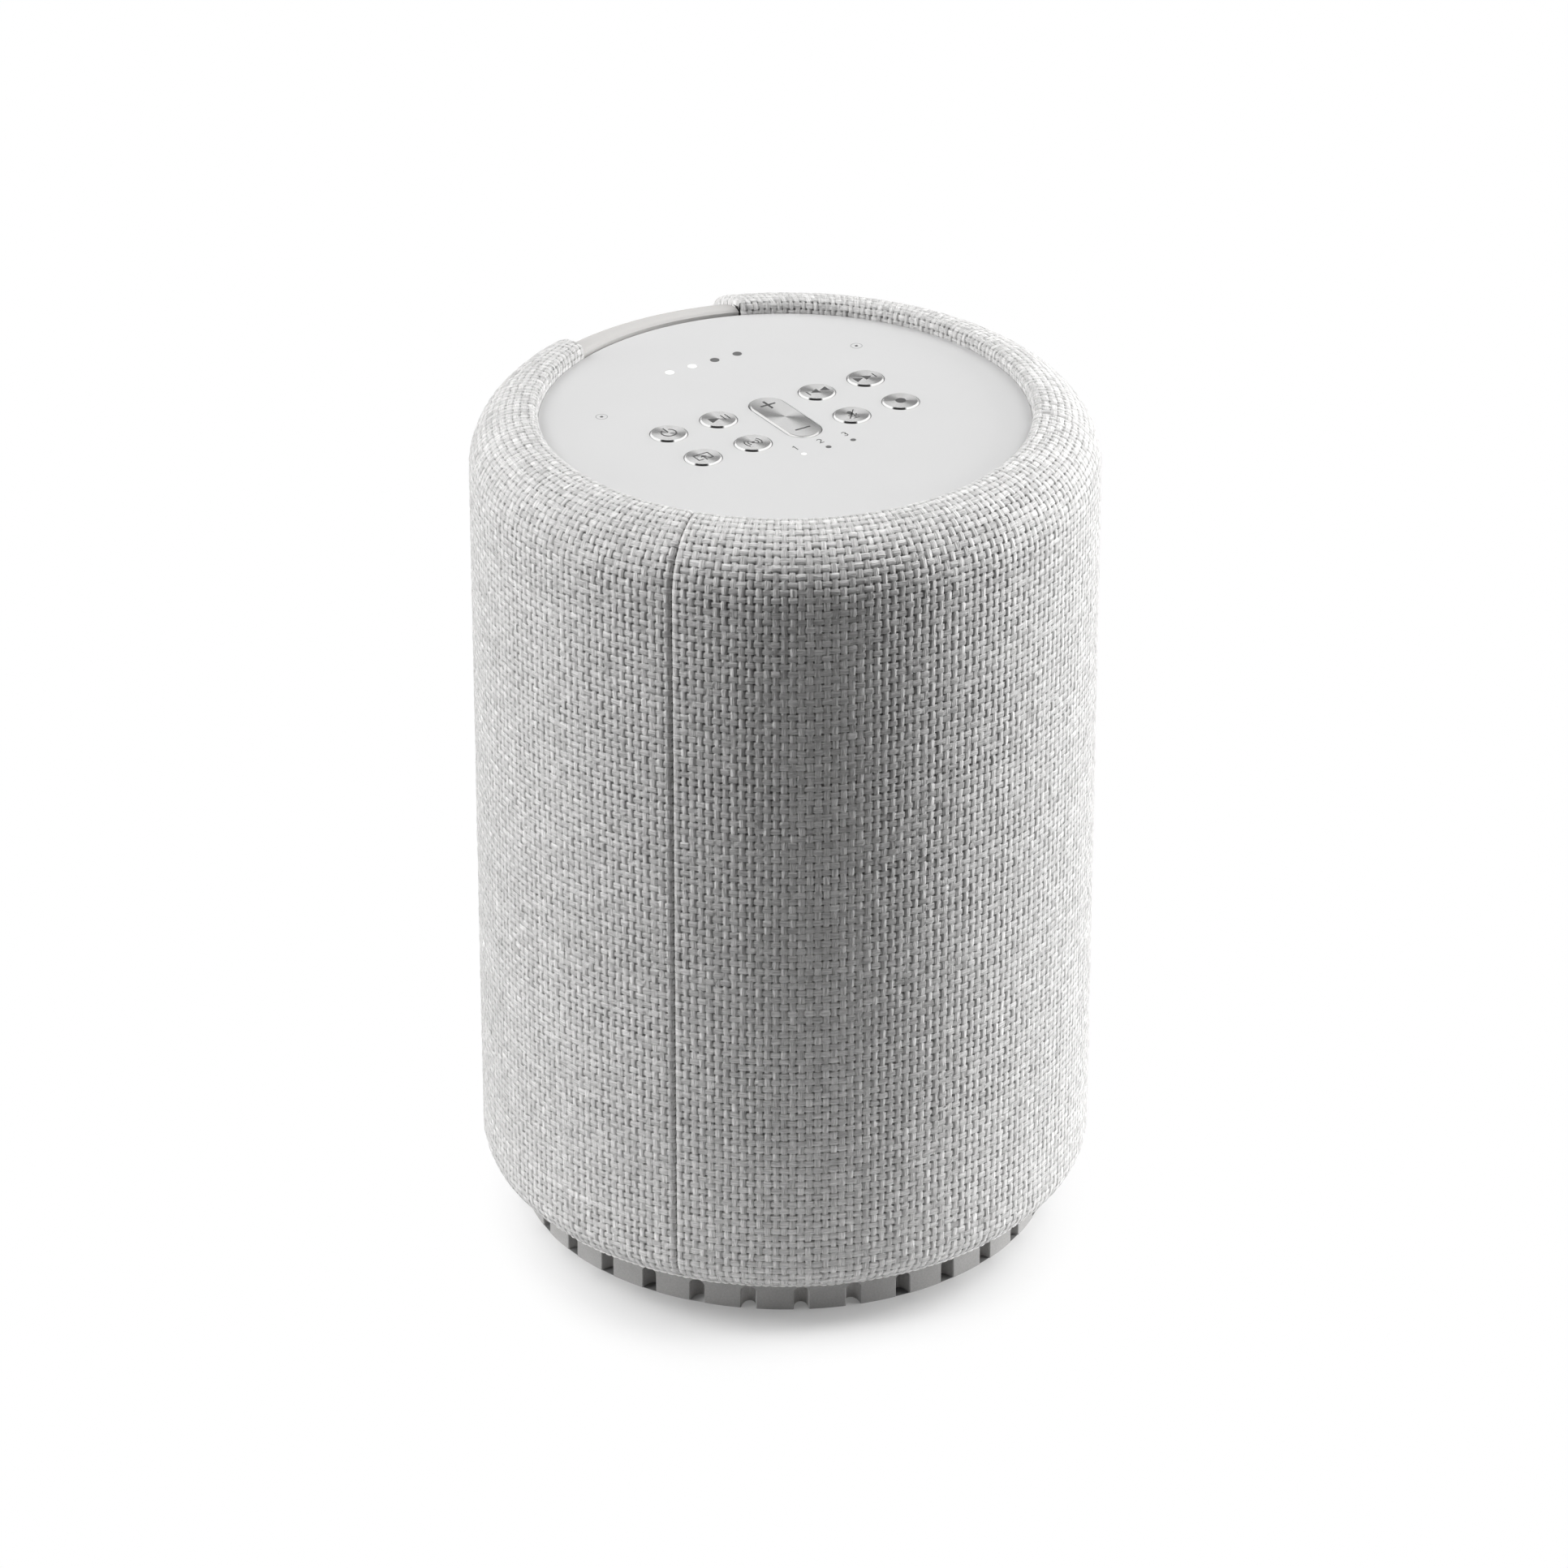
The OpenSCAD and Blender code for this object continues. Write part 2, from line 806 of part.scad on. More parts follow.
module woofer_cone()
    color([0.1, 0.1, 0.1])
        facing(woofer_y, woofer_z)
            rotate_extrude()
                polygon([[coil_r + 0.05, 10.4], [28.8, -1.2], [cone_r, -1.2], [cone_r, -0.4],
                    [29.2, -0.4], [coil_r + 0.05, 11.6]]);

module woofer_surround()
    color([0.08, 0.08, 0.08])
        facing(woofer_y, woofer_z)
            rotate_extrude()
                polygon(concat([[29.2, -2], [29.2, -1.2], [cone_r + 0.8, -1.2]],
                    [for (a = [180 : -15 : 0]) [33.8 + 1.8 * cos(a), -2 - 1.8 * sin(a)]],
                    [[35.6, -1.2], [37.9, -1.2], [37.9, -2], [36.4, -2]],
                    [for (a = [0 : 15 : 180]) [33.8 + 2.6 * cos(a), -2 - 2.6 * sin(a)]]));

// Shell cut from two spheres by a plane, bulging towards -Z from a rim of radius r
module dome(r, sphere_r, t)
    difference() {
        translate([0, 0, sqrt(sphere_r * sphere_r - r * r)])
            difference() {
                sphere(r = sphere_r);
                sphere(r = sphere_r - t);
            }
        translate([-50, -50, 0])
            cube(100);
    }

module dust_cap()
    color([0.1, 0.1, 0.1])
        facing(woofer_y + 9.4, woofer_z)
            dome(13.5, 18, 0.6);

module woofer_screws()
    color([0.2, 0.2, 0.2])
        facing(woofer_y - 2.4, woofer_z)
            ring_of(4, woofer_screw_c, 45)
                rotate([180, 0, 0])
                    screw(m2_r, 2.3, 1.6, 6);

// ---------------------------------------------------------------- tweeter

module tweeter_faceplate()
    color([0.12, 0.12, 0.12])
        facing(baffle_y, tweeter_z)
            difference() {
                rotate_extrude()
                    polygon([[10.8, 0], [tweeter_r, 0], [tweeter_r, -1.9],
                        [tweeter_r - 0.7, -2.6], [14, -2.6], [10.8, -0.8]]);
                ring_of(3, tweeter_screw_c, 90)
                    translate([0, 0, -5])
                        cylinder(r = m2_r + screw_gap, h = 10);
            }

module tweeter_dome()
    color([0.25, 0.25, 0.26])
        facing(baffle_y + 0.4, tweeter_z) {
            dome(9.8, 11.5, 0.6);
            tube(9.8, 9.2, 4);
        }

module tweeter_cup()
    color([0.6, 0.6, 0.62])
        facing(baffle_y, tweeter_z)
            difference() {
                cylinder(r = 13, h = 11);
                translate([0, 0, -1])
                    cylinder(r = 10.5, h = 10.4);
            }

module tweeter_magnet()
    color([0.5, 0.5, 0.52])
        facing(baffle_y, tweeter_z) {
            translate([0, 0, 4])
                cylinder(r = 8.2, h = 5.4);
            translate([0, 0, 2.4])
                cylinder(r = 8.7, h = 1.6);
        }

module tweeter_screws()
    color([0.2, 0.2, 0.2])
        facing(baffle_y - 2.6, tweeter_z)
            ring_of(3, tweeter_screw_c, 90)
                rotate([180, 0, 0])
                    screw(m2_r, 1.6, 1.1, 6);

// ---------------------------------------------------------------- electronics

module main_board()
    color([0.05, 0.25, 0.12])
        difference() {
            union() {
                translate([0, 0, main_z])
                    cylinder(r = main_r, h = board_t);
                for (p = [[-28, 4], [22, -14], [6, -22]])
                    translate([p.x - 5, p.y - 5, main_z + board_t - eps])
                        cube([10, 10, 1.4]);
            }
            ring_of(4, main_post, 45)
                cylinder(r = m2_r + 0.2, h = body_h);
            for (p = corner_boss)
                translate([p.x, p.y, main_z - 1])
                    cylinder(r = m3_head_r + 0.6, h = board_t + 4);
        }

module heat_sink()
    color([0.7, 0.7, 0.72])
        translate([-18, 2, main_z + board_t]) {
            cube([36, 24, 2.5]);
            for (i = [0 : 7])
                translate([i * 36 / 8 + 1.2, 0, 2])
                    cube([1.4, 24, 8]);
        }

module capacitors()
    color([0.15, 0.2, 0.4])
        for (p = [[-12, -14], [-22, -22], [-10, -27]])
            translate([p.x, p.y, main_z + board_t])
                cylinder(r = 4.4, h = 10.5);

module antennas()
    color([0.1, 0.1, 0.1])
        for (s = [-1, 1])
            translate([s * 48 - 0.4, -9, lid_top])
                cube([0.8, 18, 18]);

// Two leads to the woofer's tag and two to the tweeter's cup
module speaker_wires()
    color([0.7, 0.1, 0.1])
        for (i = [0 : 3])
            let (low = i < 2, w = wires[i], z = low ? woofer_z + 22.5 : tweeter_z,
                 y = low ? woofer_y + basket_h : baffle_y + 11) {
                translate([w.x, w.y, z])
                    cylinder(r = wire_r, h = main_z - z);
                translate([w.x, w.y, z])
                    sphere(r = wire_r);
                translate([w.x, y, z])
                    rotate([-90, 0, 0])
                        cylinder(r = wire_r, h = w.y - y);
            }

module input_board()
    color([0.05, 0.25, 0.12])
        translate([-17, input_board_y, pocket_z0 - 2])
            cube([34, input_board_t, pocket_h + 4]);

module dc_inlet()
    color([0.12, 0.12, 0.12])
        translate([inlet_x, 0, socket_z]) {
            difference() {
                union() {
                    translate([-5, jack_y, -5.5])
                        cube([10, pocket_y - pocket_wall - jack_y, 11]);
                    translate([0, pocket_y - pocket_wall - eps, 0])
                        rotate([-90, 0, 0])
                            cylinder(r = inlet_r + 1.2, h = pocket_wall + eps);
                }
                translate([0, pocket_y - inlet_depth, 0])
                    rotate([-90, 0, 0])
                        cylinder(r = inlet_r, h = inlet_depth + 1);
            }
            translate([0, pocket_y - inlet_depth - 1, 0])
                rotate([-90, 0, 0])
                    cylinder(r = inlet_pin_r, h = inlet_depth);
        }

module aux_jack()
    color([0.1, 0.1, 0.1])
        translate([aux_x, 0, socket_z])
            difference() {
                union() {
                    translate([-4, jack_y, -4])
                        cube([8, pocket_y - pocket_wall - jack_y, 8]);
                    translate([0, pocket_y - pocket_wall - eps, 0])
                        rotate([-90, 0, 0])
                            cylinder(r = aux_r + 1.4, h = pocket_wall + eps);
                }
                translate([0, pocket_y - aux_depth, 0])
                    rotate([-90, 0, 0])
                        cylinder(r = aux_r, h = aux_depth + 1);
            }

module reset_button()
    color([0.2, 0.2, 0.2])
        translate([0, pocket_y - 6, reset_z])
            rotate([-90, 0, 0])
                cylinder(r = reset_r, h = 6.2);

// ---------------------------------------------------------------- the object

fabric_front();
fabric_left();
fabric_right();
grille_frame();
spine_panel();
socket_panel();
port_panel();
top_plate();
plate_adhesive();
foot_pad();
base_plate();
base_screws();
button_power();
button_play();
button_previous();
button_next();
button_cast();
button_wireless();
button_mic_mute();
button_favorite();
volume_rocker();
top_deck();
control_board();
tact_switches();
light_pipes();
microphones();
mic_gaskets();
board_screws();
ribbon_cable();
cabinet();
cabinet_lid();
cabinet_gasket();
cabinet_screws();
damping_wool();
port_tube();
woofer_basket();
woofer_gasket();
woofer_top_plate();
woofer_magnet();
woofer_yoke();
voice_coil();
woofer_spider();
woofer_cone();
woofer_surround();
dust_cap();
woofer_screws();
tweeter_faceplate();
tweeter_dome();
tweeter_magnet();
tweeter_cup();
tweeter_screws();
main_board();
heat_sink();
capacitors();
antennas();
speaker_wires();
input_board();
dc_inlet();
aux_jack();
reset_button();
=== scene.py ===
import json
import math

import bpy
import bmesh
import numpy as np
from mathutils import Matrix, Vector


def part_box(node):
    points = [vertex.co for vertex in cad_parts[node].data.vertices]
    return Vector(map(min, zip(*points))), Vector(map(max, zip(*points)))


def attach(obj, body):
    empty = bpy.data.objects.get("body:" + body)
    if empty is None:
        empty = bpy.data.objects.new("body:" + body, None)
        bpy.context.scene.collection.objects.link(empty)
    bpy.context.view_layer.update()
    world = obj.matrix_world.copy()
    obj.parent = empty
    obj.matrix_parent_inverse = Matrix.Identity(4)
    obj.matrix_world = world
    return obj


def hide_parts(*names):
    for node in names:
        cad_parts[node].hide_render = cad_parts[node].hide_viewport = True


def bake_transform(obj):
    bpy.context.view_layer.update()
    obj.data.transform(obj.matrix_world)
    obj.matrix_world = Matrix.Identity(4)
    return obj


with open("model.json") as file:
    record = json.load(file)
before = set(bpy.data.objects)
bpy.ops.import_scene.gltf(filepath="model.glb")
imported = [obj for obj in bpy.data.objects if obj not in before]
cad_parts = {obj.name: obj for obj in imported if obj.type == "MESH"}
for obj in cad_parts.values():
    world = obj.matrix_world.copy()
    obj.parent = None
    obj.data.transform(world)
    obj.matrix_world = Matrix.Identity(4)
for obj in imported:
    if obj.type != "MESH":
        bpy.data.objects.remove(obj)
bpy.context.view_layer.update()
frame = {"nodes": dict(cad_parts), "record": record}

MM = 0.001
RECORD = frame["record"]


# ---------------------------------------------------------------- sizes read from the frame
def span(node, axis):
    """Lowest and highest place of a CAD node along one axis."""
    low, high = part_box(node)
    return low[axis], high[axis]


BODY_R = -span("fabric_front", 1)[0]
BODY_TOP = span("fabric_front", 2)[1]
HEM_Z = span("fabric_front", 2)[0]
PLATE_Z = span("top_plate", 2)[1]
FOOT_R = span("foot_pad", 0)[1]

# Sizes that the frame doesn't give
SPINE_HALF = 20.1 * MM   # half the gap that the fabric leaves for the spine
ROLL_R = 13.3 * MM       # round of the fabric's top edge
HEM_R = 7.7 * MM         # round of its bottom edge
LIP_R = 1.6 * MM         # round over which it turns down to the plate
LIP_DEPTH = 5.4 * MM     # how far below the top it ends there
HEM_FOLD = 2.2 * MM      # how far it is tucked in under the hem
SEAM_ANGLE = math.radians(53.5)   # from straight in front to each front seam
SEAM_GAP_ANGLE = 0.0004           # from the middle of a seam to each panel, in radians
YARN_PITCH = 1.775 * MM  # from one upright yarn to the next
ROW_PITCH = 1.69 * MM    # from one row to the next
HEM_STRETCH = 1.7        # the most that the rows spread where the fabric is pulled round the hem
FRONT_YARNS, SIDE_YARNS = 71, 73
MIC_X, MIC_Y = 32.5 * MM, 21.7 * MM   # the microphone holes in the plate

# Plan directions set by the camera's place. The lamps, the floor and the foot's notches use them too
TURN = math.radians(33.0)                              # the camera stands this far left of the front
RIGHT = Vector((math.cos(TURN), -math.sin(TURN), 0))   # the camera's right
BACK = Vector((math.sin(TURN), math.cos(TURN), 0))     # away from the camera
UP = Vector((0, 0, 1))


# ---------------------------------------------------------------- camera
def make_camera():
    """Long lens, looking down on the front left of the speaker."""
    pitch = math.radians(28.57)
    data = bpy.data.cameras.new("camera")
    data.lens = 169.83
    data.sensor_width = 36
    data.clip_start, data.clip_end = 0.05, 50
    cam = bpy.data.objects.new("camera", data)
    bpy.context.scene.collection.objects.link(cam)
    cam.location = (-0.77307, -1.18993, 0.871)
    cam.rotation_euler = (math.pi / 2 - pitch, 0, -TURN)
    bpy.context.scene.camera = cam


# ---------------------------------------------------------------- node helpers
class Shader:
    """The nodes of a material or of the world, added by kind, with inputs given as values or sockets."""

    def __init__(self, name, world=False):
        self.owner = (bpy.data.worlds if world else bpy.data.materials).new(name)
        self.owner.use_nodes = True
        self.tree = self.owner.node_tree
        self.tree.nodes.clear()
        self.out = self.add("ShaderNodeOutputWorld" if world else "ShaderNodeOutputMaterial")

    def add(self, kind, inputs=None, **settings):
        node = self.tree.nodes.new(kind)
        for key, value in settings.items():
            setattr(node, key, value)
        for key, value in (inputs or {}).items():
            self.put(node.inputs[key], value)
        return node

    def put(self, socket, value):
        if isinstance(value, bpy.types.NodeSocket):
            self.tree.links.new(value, socket)
        else:
            socket.default_value = value

    def math(self, operation, a, b=0.0, c=None, clamp=False):
        node = self.add("ShaderNodeMath", operation=operation, use_clamp=clamp)
        self.put(node.inputs[0], a)
        self.put(node.inputs[1], b)
        if c is not None:
            self.put(node.inputs[2], c)
        return node.outputs[0]

    def mix(self, factor, a, b, blend="MIX"):
        """Two colours. The node's sockets 6 and 7 are its colours, and 2 and 3 its plain values."""
        node = self.add("ShaderNodeMix", data_type="RGBA", blend_type=blend)
        self.put(node.inputs[0], factor)
        self.put(node.inputs[6], a)
        self.put(node.inputs[7], b)
        return node.outputs[2]

    def mix_value(self, factor, a, b):
        node = self.add("ShaderNodeMix", data_type="FLOAT")
        self.put(node.inputs[0], factor)
        self.put(node.inputs[2], a)
        self.put(node.inputs[3], b)
        return node.outputs[0]

    def ramp(self, value, low, high):
        """0 below low, 1 above high, smooth between."""
        node = self.add("ShaderNodeMapRange", {"Value": value, "From Min": low, "From Max": high},
                        interpolation_type="SMOOTHSTEP")
        return node.outputs[0]

    def place(self):
        """Position in the row frame, in metres."""
        return self.add("ShaderNodeTexCoord").outputs["Object"]

    def stretched(self, vector, scale):
        return self.add("ShaderNodeMapping", {"Vector": vector, "Scale": scale}).outputs[0]

    def noise(self, vector, scale, detail=2.0, roughness=0.5):
        node = self.add("ShaderNodeTexNoise", {"Vector": vector, "Scale": scale,
                                               "Detail": detail, "Roughness": roughness})
        return node.outputs[0]

    def attribute(self, name, output="Fac"):
        return self.add("ShaderNodeAttribute", attribute_name=name).outputs[output]

    def bump(self, height, distance, strength):
        inputs = {"Height": height, "Distance": distance, "Strength": strength}
        return self.add("ShaderNodeBump", inputs).outputs[0]

    def vector(self, operation, a, b=None, output=0):
        node = self.add("ShaderNodeVectorMath", {0: a} if b is None else {0: a, 1: b}, operation=operation)
        return node.outputs[output]

    def dot(self, a, b):
        return self.vector("DOT_PRODUCT", a, b, "Value")

    def shade(self, value):
        """A grey from one number."""
        return self.add("ShaderNodeCombineColor", {0: value, 1: value, 2: value}).outputs[0]

    def rays(self, *kinds):
        """1 for rays of any of these kinds."""
        path = self.add("ShaderNodeLightPath")
        total = path.outputs[kinds[0]]
        for kind in kinds[1:]:
            total = self.math("MAXIMUM", total, path.outputs[kind])
        return total

    def mix_shader(self, factor, a, b):
        node = self.add("ShaderNodeMixShader", {0: factor})
        self.put(node.inputs[1], a)
        self.put(node.inputs[2], b)
        return node.outputs[0]

    def surface(self, **inputs):
        """A principled shader. Underscores in the names stand for spaces."""
        node = self.add("ShaderNodeBsdfPrincipled",
                        {key.replace("_", " "): value for key, value in inputs.items()})
        self.tree.links.new(node.outputs[0], self.out.inputs[0])
        return self.owner


def grey(value, warm=0.0):
    """A neutral colour, a little warmer if asked."""
    return (value * (1 + warm), value, value * (1 - warm), 1)


# ---------------------------------------------------------------- fabric
def arc(centre, radius, start, end, step=2.0):
    """Points and outward normals along a circle in the profile plane."""
    count = max(2, int(abs(end - start) / step) + 1)
    angles = np.radians(np.linspace(start, end, count))
    normal = np.stack([np.cos(angles), np.sin(angles)], 1)
    return np.array(centre) + radius * normal, normal


def fabric_profile():
    """The fabric's outer profile from its tucked hem up over the roll and down the lip."""
    hem_c = (BODY_R - HEM_R, HEM_Z + HEM_R)
    roll_c = (BODY_R - ROLL_R, BODY_TOP - ROLL_R)
    lip_c = (roll_c[0], BODY_TOP - LIP_R)
    down, inward = np.array([0.0, -1]), np.array([-1.0, 0])
    points, normals = [], []

    def extend(p, n):
        points.extend(p)
        normals.extend(n)

    extend([[hem_c[0] - HEM_FOLD, HEM_Z]], [down])
    extend(*arc(hem_c, HEM_R, -90, 0))
    extend(*arc(roll_c, ROLL_R, 0, 90))
    extend(*arc(lip_c, LIP_R, 90, 180, 6.0))
    extend([[lip_c[0] - LIP_R, BODY_TOP - LIP_DEPTH]], [inward])
    points, normals = np.array(points), np.array(normals)
    step = np.linalg.norm(np.diff(points, axis=0), axis=1)
    return np.concatenate([[0], np.cumsum(step)]), points, normals


def row_places(length, normals):
    """Where each row of yarn starts along the profile. The rows lie further apart round the hem."""
    s = np.linspace(0, length[-1], 4001)
    n_r, n_z = np.interp(s, length, normals[:, 0]), np.interp(s, length, normals[:, 1])
    upright = np.where(n_z < 0, np.abs(n_r) / np.hypot(n_r, n_z), 1.0)
    pitch = ROW_PITCH * np.minimum(HEM_STRETCH, 1 / np.maximum(upright, 0.01) ** 1.5)
    count = np.concatenate([[0], np.cumsum(np.diff(s) / pitch[1:])])
    rows = round(count[-1])
    return rows, np.interp(np.arange(rows + 1) * count[-1] / rows, count, s)


# Grid lines per yarn: the gap, the foot and edge of the ribbon, its middle, and its other edge and foot
CELL = 6
GAP, EDGE_LOW, MIDDLE, EDGE_HIGH = 0, 2, 3, 4
WARP_HALF = 0.375      # half width of an upright ribbon, in yarn pitches
WEFT_HALF = 0.415      # and of a ribbon in a row
WARP_TURN = 0.56       # how far from a crossing a ribbon turns down, as a share of the way to the next
WEFT_TURN = 0.59
TURN_LENGTH = 0.075    # over how short a stretch it does so
SINK = 0.12 * MM       # how far the weave lies below the outline, so that its crests don't pass it
CREST = 0.078 * MM     # how far a ribbon rises or dives at a crossing
SHOULDER = 0.035 * MM  # how far its edges hang below its middle
PIT = -0.30 * MM       # depth of the hole between four ribbons
END_WALL = 4 * MM      # depth of the wall that closes a panel's end beside the spine
END_STRIP = 0.02       # width of the strip that forms this wall, as a share of a yarn's pitch
SLACK = 0.020          # half width of a ribbon's side wall, in yarn pitches


def yarn_noise(rng, yarns, length, grain):
    """Random values along each yarn, smooth over about grain crossings."""
    knots = int(length / grain) + 4
    rough = rng.standard_normal((yarns, knots))
    at = np.linspace(0, knots - 1.001, length)
    low = at.astype(int)
    part = at - low
    part = part * part * (3 - 2 * part)
    return rough[:, low] * (1 - part) + rough[:, low + 1] * part


def ribbons(rng, yarns, crossings, width):
    """Half width, wander, tone and lift of each yarn, at its crossings, but wander at its grid lines."""
    half = width + 0.022 * rng.standard_normal((yarns, 1))
    half = half + 0.018 * rng.standard_normal((yarns, crossings))
    half = half - 0.06 * (rng.random((yarns, 1)) < 0.08)
    wander = 0.045 * yarn_noise(rng, yarns, crossings * CELL + 1, 2.2 * CELL)
    tone = (0.035 * rng.standard_normal((yarns, 1)) + 0.04 * yarn_noise(rng, yarns, crossings, 5)
            + 0.055 * rng.standard_normal((yarns, crossings)))
    lift = 0.035 * MM * rng.standard_normal((yarns, crossings))
    return half.clip(0.24, 0.445), wander, tone, lift


def across_ribbon(line, half, wander):
    """Place of each grid line across a yarn's cell, from -0.5 to 0.5."""
    side = np.select([line < MIDDLE, line > MIDDLE], [-1.0, 1.0], 0.0)
    reach = np.select([line == MIDDLE, (line == EDGE_LOW) | (line == EDGE_HIGH)],
                      [0.0 * half, half - SLACK], half + SLACK)
    place = (side * reach + wander).clip(-0.485, 0.485)
    return np.where(line == GAP, -0.5, np.where(line == CELL, 0.5, place))


def fabric_panel(name, node, start, end, flip, seed, material, cols, edge):
    """A panel of plain weave. start and end give the angle of its two sides at each radius."""
    rng = np.random.default_rng(seed)
    length, points, normals = fabric_profile()
    rows, row_starts = row_places(length, normals)
    half_warp, wander_warp, tone_warp, lift_warp = ribbons(rng, cols, rows, WARP_HALF)
    half_weft, wander_weft, tone_weft, lift_weft = (
        a.T for a in ribbons(rng, rows, cols, WEFT_HALF))

    k, l = np.arange(cols * CELL + 1), np.arange(rows * CELL + 1)
    i, j = np.minimum(k // CELL, cols - 1), np.minimum(l // CELL, rows - 1)
    m, n = (k - CELL * i)[:, None], (l - CELL * j)[None, :]
    i, j = i[:, None], j[None, :]
    side_fade = np.minimum(np.minimum(k, k[-1] - k) / CELL, 1)[:, None]
    end_fade = np.minimum(np.minimum(l, l[-1] - l) / CELL, 1)[None, :]
    u = across_ribbon(m, half_warp[i, j], wander_warp[i, l[None, :]] * side_fade)
    v = across_ribbon(n, half_weft[i, j], wander_weft[k[:, None], j] * end_fade)
    over = np.where((i + j) % 2 == 0, 1.0, -1.0)

    def crimp(along, sign, turn):
        """1 on top of a crossing and -1 under it. The ribbon is flat until it turns down at turn."""
        from_top = np.where(sign > 0, np.abs(along), 1 - np.abs(along))
        return np.tanh((turn - from_top) / TURN_LENGTH)

    def ribbon(line, along, sign, turn, lift):
        present = (line >= EDGE_LOW) & (line <= EDGE_HIGH)
        drop = np.where(line == MIDDLE, 0.0, SHOULDER)
        return np.where(present, crimp(along, sign, turn) * CREST + lift - drop, -1.0)

    warp = ribbon(m, v, over, WARP_TURN, lift_warp[i, j])
    weft = ribbon(n, u, -over, WEFT_TURN, lift_weft[i, j])
    on_warp = warp > weft
    open_pit = (warp < -0.5) & (weft < -0.5)
    height = np.where(open_pit, PIT, np.maximum(warp, weft))

    # Place on the body: u along the way round, v up the profile
    way_round = (i + 0.5 + u) / cols
    # The last strip at an end stands upright, close against the spine
    if flip[0] == "end":
        way_round[1] = END_STRIP / cols
    if flip[1] == "end":
        way_round[-2] = 1 - END_STRIP / cols
    s = np.interp(j + 0.5 + v, np.arange(rows + 1), row_starts)
    radius, z = np.interp(s, length, points[:, 0]), np.interp(s, length, points[:, 1])
    n_r, n_z = np.interp(s, length, normals[:, 0]), np.interp(s, length, normals[:, 1])
    size = np.hypot(n_r, n_z)
    n_r, n_z = n_r / size, n_z / size
    a0, a1 = start(radius), end(radius)
    angle = a0 + (a1 - a0) * way_round
    arc_len = np.abs(a1 - a0) * radius
    # Each side is folded down over the frame
    drop = side_drop(way_round * arc_len, flip[0], n_r, z)
    drop = drop + side_drop((1 - way_round) * arc_len, flip[1], n_r, z)
    height = height - SINK + drop
    r, h = radius + n_r * height, z + n_z * height
    co = np.stack([r * np.cos(angle), r * np.sin(angle), h], 2)

    tone = 1 + np.where(on_warp, tone_warp[i, j], tone_weft[i, j])
    off_middle = np.where(on_warp, (m != MIDDLE) * 1.0, (n != MIDDLE) * 1.0)
    near_end = np.where(on_warp, np.abs(v), np.abs(u)) * 2
    # Painted shade: darkest in the holes between four ribbons, darker towards each ribbon's ends where it
    # dives under the next, a little at its edges
    painted_cavity_shade = np.where(open_pit, 0.0, 1 - 0.05 * off_middle - 0.30 * np.clip(near_end, 0, 1) ** 6)
    yarn = np.stack([i + u + seed * 500.0, j + v, 0 * u], 2)

    count_k, count_l = len(k), len(l)
    index = np.arange(count_k * count_l).reshape(count_k, count_l)
    quads = np.stack([index[:-1, :-1], index[1:, :-1], index[1:, 1:], index[:-1, 1:]], 2).reshape(-1, 4)
    mesh = grid_mesh(name, co.reshape(-1, 3), quads)
    for key, values, kind, field in (("tone", tone, "FLOAT", "value"),
                                     ("warp", on_warp * 1.0, "FLOAT", "value"),
                                     ("painted_cavity_shade", painted_cavity_shade, "FLOAT", "value"),
                                     ("yarn", yarn, "FLOAT_VECTOR", "vector")):
        attribute = mesh.attributes.new(key, kind, "POINT")
        attribute.data.foreach_set(field, np.ascontiguousarray(values, np.float32).ravel())
    flat = np.stack(np.broadcast_arrays(k[:, None] / k[-1], l[None, :] / l[-1]), 2).reshape(-1, 2)
    corners = flat[quads.ravel()].astype(np.float32)
    mesh.uv_layers.new(name="OFBake").uv.foreach_set("vector", corners.ravel())
    mesh.materials.append(material)
    piece = bpy.data.objects.new(name, mesh)
    bpy.context.scene.collection.objects.link(piece)
    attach(piece, "root")
    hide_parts(node)
    hem_r = BODY_R - HEM_R
    hem = hem_edge(name.replace("panel", "hem"), float(start(hem_r)), float(end(hem_r)), seed + 10, edge)


def hem_edge(name, start, end, seed, material):
    """The creased yarn along a panel's bottom fold, pinched where each upright yarn goes round it."""
    rng = np.random.default_rng(seed)
    crease = math.radians(-61)   # where round the hem the fabric is creased
    radius = BODY_R - HEM_R + HEM_R * math.cos(crease)
    z = HEM_Z + HEM_R + HEM_R * math.sin(crease)
    steps = round((end - start) * radius / YARN_PITCH) * 4
    angle = np.linspace(start, end, steps + 1)
    swell = np.abs(np.sin(np.arange(steps + 1) * math.pi / 4)) ** 0.7
    thick = (0.10 + 0.18 * swell + 0.03 * rng.standard_normal(steps + 1)).clip(0.06, 0.34) * MM
    drop = 0.05 * MM * yarn_noise(rng, 1, steps + 1, 5)[0]   # a slight waver along the edge
    around = np.radians(np.arange(8) * 45)
    r = radius + thick[:, None] * np.cos(around) + 0.12 * MM
    h = z + drop[:, None] + thick[:, None] * np.sin(around)
    co = np.stack([r * np.cos(angle)[:, None], r * np.sin(angle)[:, None], h], 2)
    index = np.arange(co.shape[0] * 8).reshape(-1, 8)
    turned = np.roll(index, -1, 1)
    quads = np.stack([index[:-1], turned[:-1], turned[1:], index[1:]], 2).reshape(-1, 4)
    mesh = grid_mesh(name, co.reshape(-1, 3), quads)
    # The bead is paler than the weave: a painted highlight along the fold
    mesh.materials.append(material)
    piece = bpy.data.objects.new(name, mesh)
    bpy.context.scene.collection.objects.link(piece)
    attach(piece, "root")
    return piece


def folded(distance, style):
    """How far a panel's side drops, at each distance from its edge, in metres."""
    reach, depth = {"under": (1.25 * MM, 0.9 * MM), "over": (0.6 * MM, 0.9 * MM),
                    "end": (0.9 * MM, 2.4 * MM)}[style]
    t = np.clip(distance / reach, 0, 1)
    return -depth * (1 - np.sqrt(np.maximum(0, 1 - (1 - t) ** 2)))


